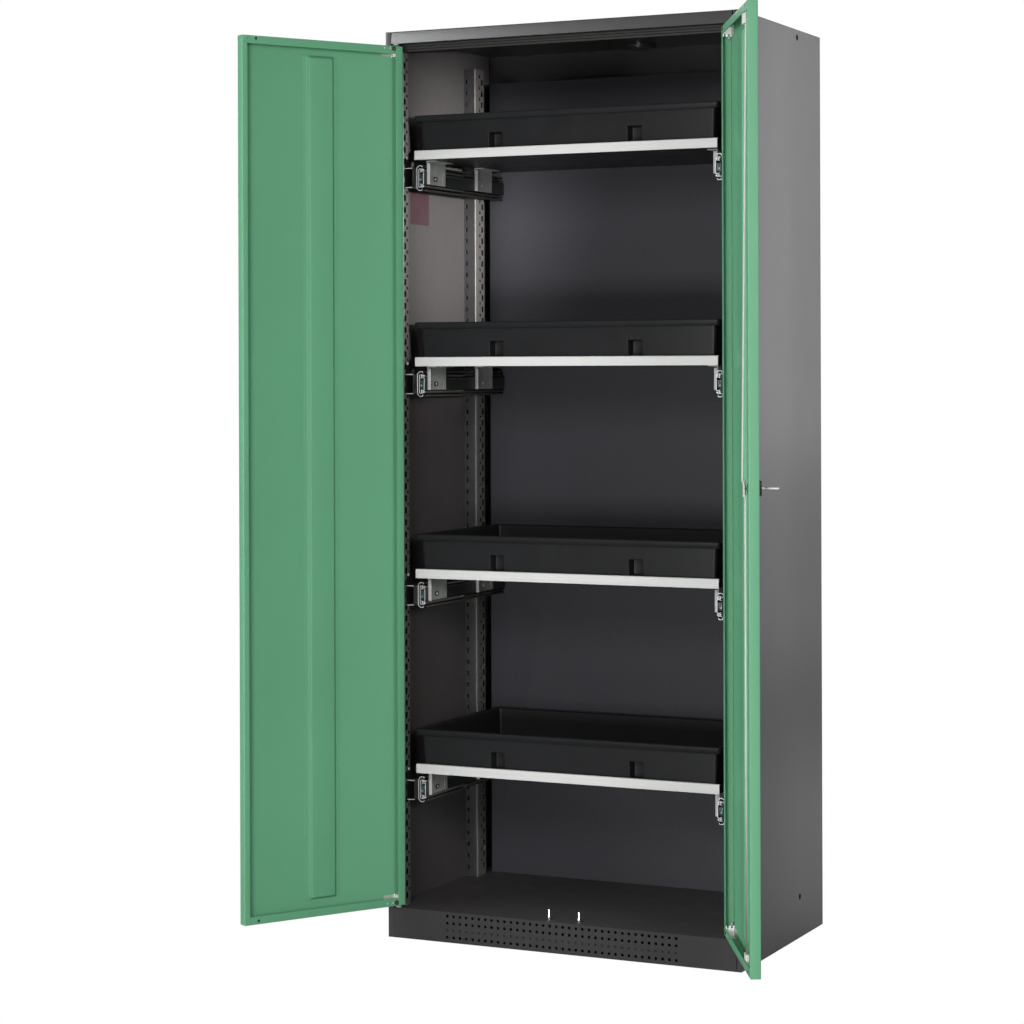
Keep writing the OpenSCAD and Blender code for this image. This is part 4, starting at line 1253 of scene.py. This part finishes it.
def build_door(right):
    side = "right" if right else "left"
    body = "door_" + side
    W = right_door if right else left_door
    p = Piece("door_%s_pan" % side, ["green"])
    p.add(pan(right))
    for z0, z1 in ((DZ0 - 2, DZ0 + 16.6), (DZ1 - 16.6, DZ1 + 2)):
        for u in (DW - 12.8, 18.3):
            p.cut(rbox(u - 0.35, u + 0.35, DT - 0.55, DT + 1, z0, z1, 0.05, 1))
    for z0, z1 in ((DZ0 - 2, DZ0 + 4), (DZ1 - 4, DZ1 + 2)):
        p.cut(cyl_z(PU, PV, z0, z1, 4.3))
    if right:
        p.cut(cyl_v(LU, LZ, -2, 3, 9.2, 40))
        p.cut(prism(rrect(LU + 3, LU + 17, 10, 17, 2), lambda a, b, s: (a, b, s), DZ1 - 3, DZ1 + 3, 0))
        p.cut(prism(rrect(LU - 17, LU - 3, 12, 18.2, 2), lambda a, b, s: (a, b, s), DZ0 - 3, DZ0 + 3, 0))
    p.done(body, ["door_" + side, "door_edge_" + side], world=W)
    # stiffener: a hat section whose ends run out into the skin
    p = Piece("stiffener_%s_pressed" % side, ["green"])
    mid = DW / 2
    hat = [(-42, 1.7), (-31.5, 1.7), (-27.6, 8.5), (27.6, 8.5), (31.5, 1.7), (42, 1.7)]
    o = fold(hat, 1.0, 2.4, 5, 0.3)
    rings = []
    for z, k in ((103, 0.03), (104.5, 0.10), (107, 0.55), (109.5, 0.93), (112.5, 1.0), (1878.5, 1.0), (1881.5, 0.93), (1884, 0.55), (1886.5, 0.10), (1888, 0.03)):
        rings.append([(mid + u, 1.7 + (v - 1.7) * k if v > 2.2 else v, z) for u, v in o])
    p.add(loft(rings))
    p.done(body, "stiffener_" + side, world=W, angle=24)
    # hinge brackets: one stamped steel in two colours, near-white on the notched leg as painted light, green-grey on
    # the flat legs as painted shade with a painted reflection of the green door
    p = Piece("hinge_brackets_%s_stamped" % side, ["bracket", "zinc_edge", "bracket_flat"])
    for z, d in ((DZ0, 1), (DZ1, -1)):
        fl = lambda q, z=z, d=d: (q[0], q[1], z + d * q[2])
        # plate for the bush, under the folded edge
        p.add(moved(prism(rrect(1.3, 44, 1.3, 19.7, 1.2, 3), lambda a, b, s: (a, b, s), 1.25, 3.2, 0.3), fl), 2)
        # leg on the skin
        leg = [(18.6, 3.0), (44, 3.0), (44, 18.4), (43.2, 20.2), (41.4, 21.0), (18.6, 21.0)]
        p.add(moved(prism(leg, lambda a, b, s: (a, s, b), 1.25, 3.2, 0.3), fl), 2)
        # notched leg across the pan
        ends = [(1.3, 3.0), (19.7, 3.0), (19.7, 21.8), (19.2, 22.7), (18.2, 23.0), (17.9, 22.8), (17.6, 22.2), (17.5, 18.2), (17.0, 17.2), (15.85, 16.8), (14.7, 17.2), (14.2, 18.2),
                (14.1, 22.2), (13.8, 22.8), (13.2, 23.0), (10.2, 23.0), (9.7, 22.8), (9.4, 22.2), (9.3, 19.2), (8.7, 18.2), (7.2, 17.8), (5.7, 18.2), (5.1, 19.2), (5.0, 22.2), (4.7, 22.8),
                (4.2, 23.0), (2.4, 23.0), (1.6, 22.5), (1.3, 21.6)]
        p.add(moved(prism(ends, lambda a, b, s: (s, a, b), 16.5, 18.5, 0.3), fl))
        # the bend between the two legs
        p.add(moved(prism([(16.9, 1.3), (21.6, 1.3), (21.6, 3.1), (19.4, 3.5), (18.4, 4.6), (17.0, 4.6)], lambda a, b, s: (a, b, s), 3.0, 21.6, 0.3), fl))
        p.cut(moved(cyl_z(PU, PV, -2, 6, 4.2), fl))
        p.add(moved(rivet((40.5, 3.1, 17.6), (0, 1, 0), 2.1, 1.1), fl), 1)
    p.done(body, "hinge_brackets_" + side, world=W)
    # nylon bushes
    p = Piece("hinge_bushes_%s_turned" % side, ["nylon_black"])
    for z, d in ((DZ0, 1), (DZ1, -1)):
        prof = [(2.8, 19), (3.1, 19), (4.0, 18.9), (4.2, 18.6), (4.2, 0.2), (4.3, 0), (5.7, 0), (6.0, -0.3), (6.0, -2.3), (5.7, -2.7), (3.2, -2.7), (2.8, -2.3), (2.8, 19)]
        p.add(lathe(prof, 32, lambda a, b, q, z=z, d=d: (PU + a, PV + b, z + d * q)))
    p.done(body, "hinge_bushes_" + side, world=W)
    # buffers, plugs and rivet heads
    p = Piece("buffers_%s_moulded" % side, ["rubber", "copper", "zinc_edge"])
    for z in (DZ0 + 7.3, DZ1 - 6):
        dome = [(0, -0.8), (3.0, -0.8), (3.0, 0.1), (2.8, 0.45), (2.1, 0.62), (1.0, 0.69), (0, 0.7)]
        p.add(lathe(dome, 24, lambda x, y, q, z=z: (355.5 + x, DT + q, z + y)), 0)
        ring = [(2.6, -0.6), (5.0, -0.6), (5.2, -0.2), (5.2, 0.5), (4.9, 0.9), (4.3, 1.1), (3.4, 1.1), (2.9, 0.8), (2.6, 0.3), (2.6, -0.6)]
        p.add(lathe(ring, 28, lambda x, y, q, z=z: (22.5 + x, DT + q, z + y)), 0)
        core = [(0, -0.5), (2.7, -0.5), (2.7, 0.0), (2.2, 0.25), (1.2, 0.1), (0, 0.1)]
        p.add(lathe(core, 24, lambda x, y, q, z=z: (22.5 + x, DT + q, z + y)), 1)
        for u in (31.5, 45.5):
            p.add(rivet((u, DT, z), (0, 1, 0), 1.7, 0.8), 2)
    p.done(body, "buffers_" + side, world=W)


def build_lock():
    W = right_door
    p = Piece("rod_guides_moulded", ["nylon_white"])
    for u0, u1, v0, v1, z0, z1, su0, su1, sv0, sv1 in (
            (LU - 3, LU + 23, 11, 19.8, 1882, 1906.5, LU + 4.2, LU + 15.8, 12.1, 16.1),
            (LU - 23, LU + 3, 11.8, 18.0, 72.2, 99, LU - 15.8, LU - 4.2, 13.5, 16.9)):
        o = rrect(u0, u1, v0, v1, 0.5, 3)
        i = rrect(su0, su1, sv0, sv1, 0.4, 3)
        p.add(tube(o, i, lambda a, b, s: (a, b, s), z0, z1, 0.25))
    p.done("door_right", "rod_guides", world=W)

    p = Piece("lock_housing_moulded", ["nylon_black"])
    p.add(plate(rrect(LU - 13.5, LU + 13.5, LZ - 14.5, LZ + 14.5, 3.0, 6), [circle(LU, LZ, 6.05, 48)], lambda a, b, s: (a, s, b), -14.0, 0.0, 0.45))
    p.add(lathe([(6.3, -13.8), (6.3, -14.3), (6.6, -14.6), (8.3, -14.6), (8.9, -14.3), (9.1, -13.8), (6.3, -13.8)], 48, lambda x, y, q: (LU + x, q, LZ + y)))
    prof = [(6.05, 12.6), (6.05, 0.1), (9.0, 0.1), (9.0, 1.2), (12.6, 1.2), (13.0, 1.6), (13.0, 4.6), (12.6, 5.0), (9.0, 5.0), (9.0, 12.2), (8.6, 12.6), (6.05, 12.6)]
    p.add(lathe(prof, 48, lambda x, y, q: (LU + x, q, LZ + y)))
    p.done("door_right", "lock_housing", world=W)

    p = Piece("lock_cylinder_turned", ["chrome"])
    prof = [(0, -14.8), (5.3, -14.8), (5.8, -14.6), (6.0, -14.2), (6.0, 12.7), (5.7, 13.0), (2.6, 13.0), (2.6, 16.6), (0, 16.6)]
    p.add(lathe(prof, 40, lambda x, y, q: (LU + x, q, LZ + y)))
    head = [(0, 19.0), (2.6, 19.0), (2.6, 19.9), (2.2, 20.3), (1.2, 20.4), (0, 20.4)]
    p.add(lathe(head, 24, lambda x, y, q: (LU + x, q, LZ + y)))
    p.cut(rbox(LU - 4.2, LU + 4.2, -18, 5, LZ - 1.3, LZ + 1.3, 0.3))
    p.done("lock_plug", "lock_cylinder", world=W)

    # key: blade with a milled groove, neck and a rounded bow
    p = Piece("key_cut", ["key", "nylon_black"])
    blade = [(-4, -0.4), (-3.6, -1.1), (3.6, -1.1), (4, -0.7), (4, 0.7), (3.6, 1.1), (1.0, 1.1), (0.6, 0.55), (-0.9, 0.55), (-1.3, 1.1), (-3.6, 1.1), (-4, 0.4)]
    p.add(prism(blade, lambda a, b, s: (LU + a, s, LZ + b), -24.6, 4.4, 0.25))
    bow = rrect(-11, 11, -48.8, -24.4, 6.0, 8)
    hole = circle(0, -43.2, 3.1, 28)
    p.add(plate(bow, [hole], lambda a, b, s: (LU + a, b, s), LZ - 1.3, LZ + 1.3, 0.45), 0)
    p.add(lathe([(0, -22.5), (1.9, -22.5), (2.2, -22.2), (2.2, -16.8), (1.9, -16.4), (0, -16.4)], 24, lambda x, y, q: (LU + x, q, LZ + y * 0.85)), 0)
    p.add(lathe([(0, -25.2), (2.3, -25.2), (2.5, -24.9), (2.5, -22.6), (2.3, -22.3), (0, -22.3)], 24, lambda x, y, q: (LU + x * 1.5, q, LZ + y * 0.8)), 1)
    p.done("lock_plug", "key", world=W)

    finish_node("lock_cam", "zinc", 0.25)
    finish_node("rod_upper", "rod", 0.35)
    finish_node("rod_lower", "rod", 0.35)


build_body()
build_slides()
build_drawers()
build_door(False)
build_door(True)
build_lock()

# every frame node that still shows has its finish
BY_SLOT = {"body_paint": "body", "interior_paint": "interior", "door_paint": "green", "front_strip": "strip", "black_paint": "black",
           "tray_plastic": "tray", "slide_steel": "slide", "zinc_steel": "zinc", "chrome_steel": "chrome", "black_nylon": "nylon_black",
           "white_nylon": "nylon_white", "black_rubber": "rubber", "label_plate": "label"}
for name, o in NODES.items():
    if not o.hide_render and (not o.data.materials or o.data.materials[0] not in M.values()):
        o.data.materials.clear()
        o.data.materials.append(M["zinc"])


# =====================================================================
# floor
# =====================================================================
def build_floor():
    me = bpy.data.meshes.new("floor")
    s = 14.0
    me.from_pydata([(-s, -s, -0.0005), (s, -s, -0.0005), (s, s, -0.0005), (-s, s, -0.0005)], [], [(0, 1, 2, 3)])
    o = bpy.data.objects.new("floor", me)
    scene.collection.objects.link(o)
    m = Mat("pale_floor")
    tone = m.ramp(m.noise(1.5, 3, 0.5), [(0.3, (0.26, 0.26, 0.26)), (0.7, (0.29, 0.29, 0.29))])
    m.link(tone, "Base Color")
    m.set(Roughness=0.75)
    me.materials.append(m.m)
    o.visible_camera = False
    # a near-black sheet under the base, painted shade for the floor in shadow, seen through the plinth holes
    me = bpy.data.meshes.new("floor_under_base")
    me.from_pydata([(-0.398, -0.252, -0.0002), (0.398, -0.252, -0.0002), (0.398, 0.25, -0.0002), (-0.398, 0.25, -0.0002)], [], [(0, 1, 2, 3)])
    o = bpy.data.objects.new("floor_under_base", me)
    scene.collection.objects.link(o)
    m = Mat("shaded_floor")
    m.link(m.ramp(m.noise(6, 3, 0.5), [(0.3, (0.006, 0.006, 0.006)), (0.7, (0.010, 0.010, 0.010))]), "Base Color")
    m.set(Roughness=0.9, Specular_IOR_Level=0.1)
    me.materials.append(m.m)


build_floor()

for lamp, pieces in LIT.items():
    lit_by = bpy.data.collections.new(lamp + "_pieces")
    for piece in pieces:
        lit_by.objects.link(bpy.data.objects[piece.lstrip("-")])
        if piece[0] == "-":
            lit_by.collection_objects[-1].light_linking.link_state = "EXCLUDE"
    bpy.data.objects[lamp].light_linking.receiver_collection = lit_by
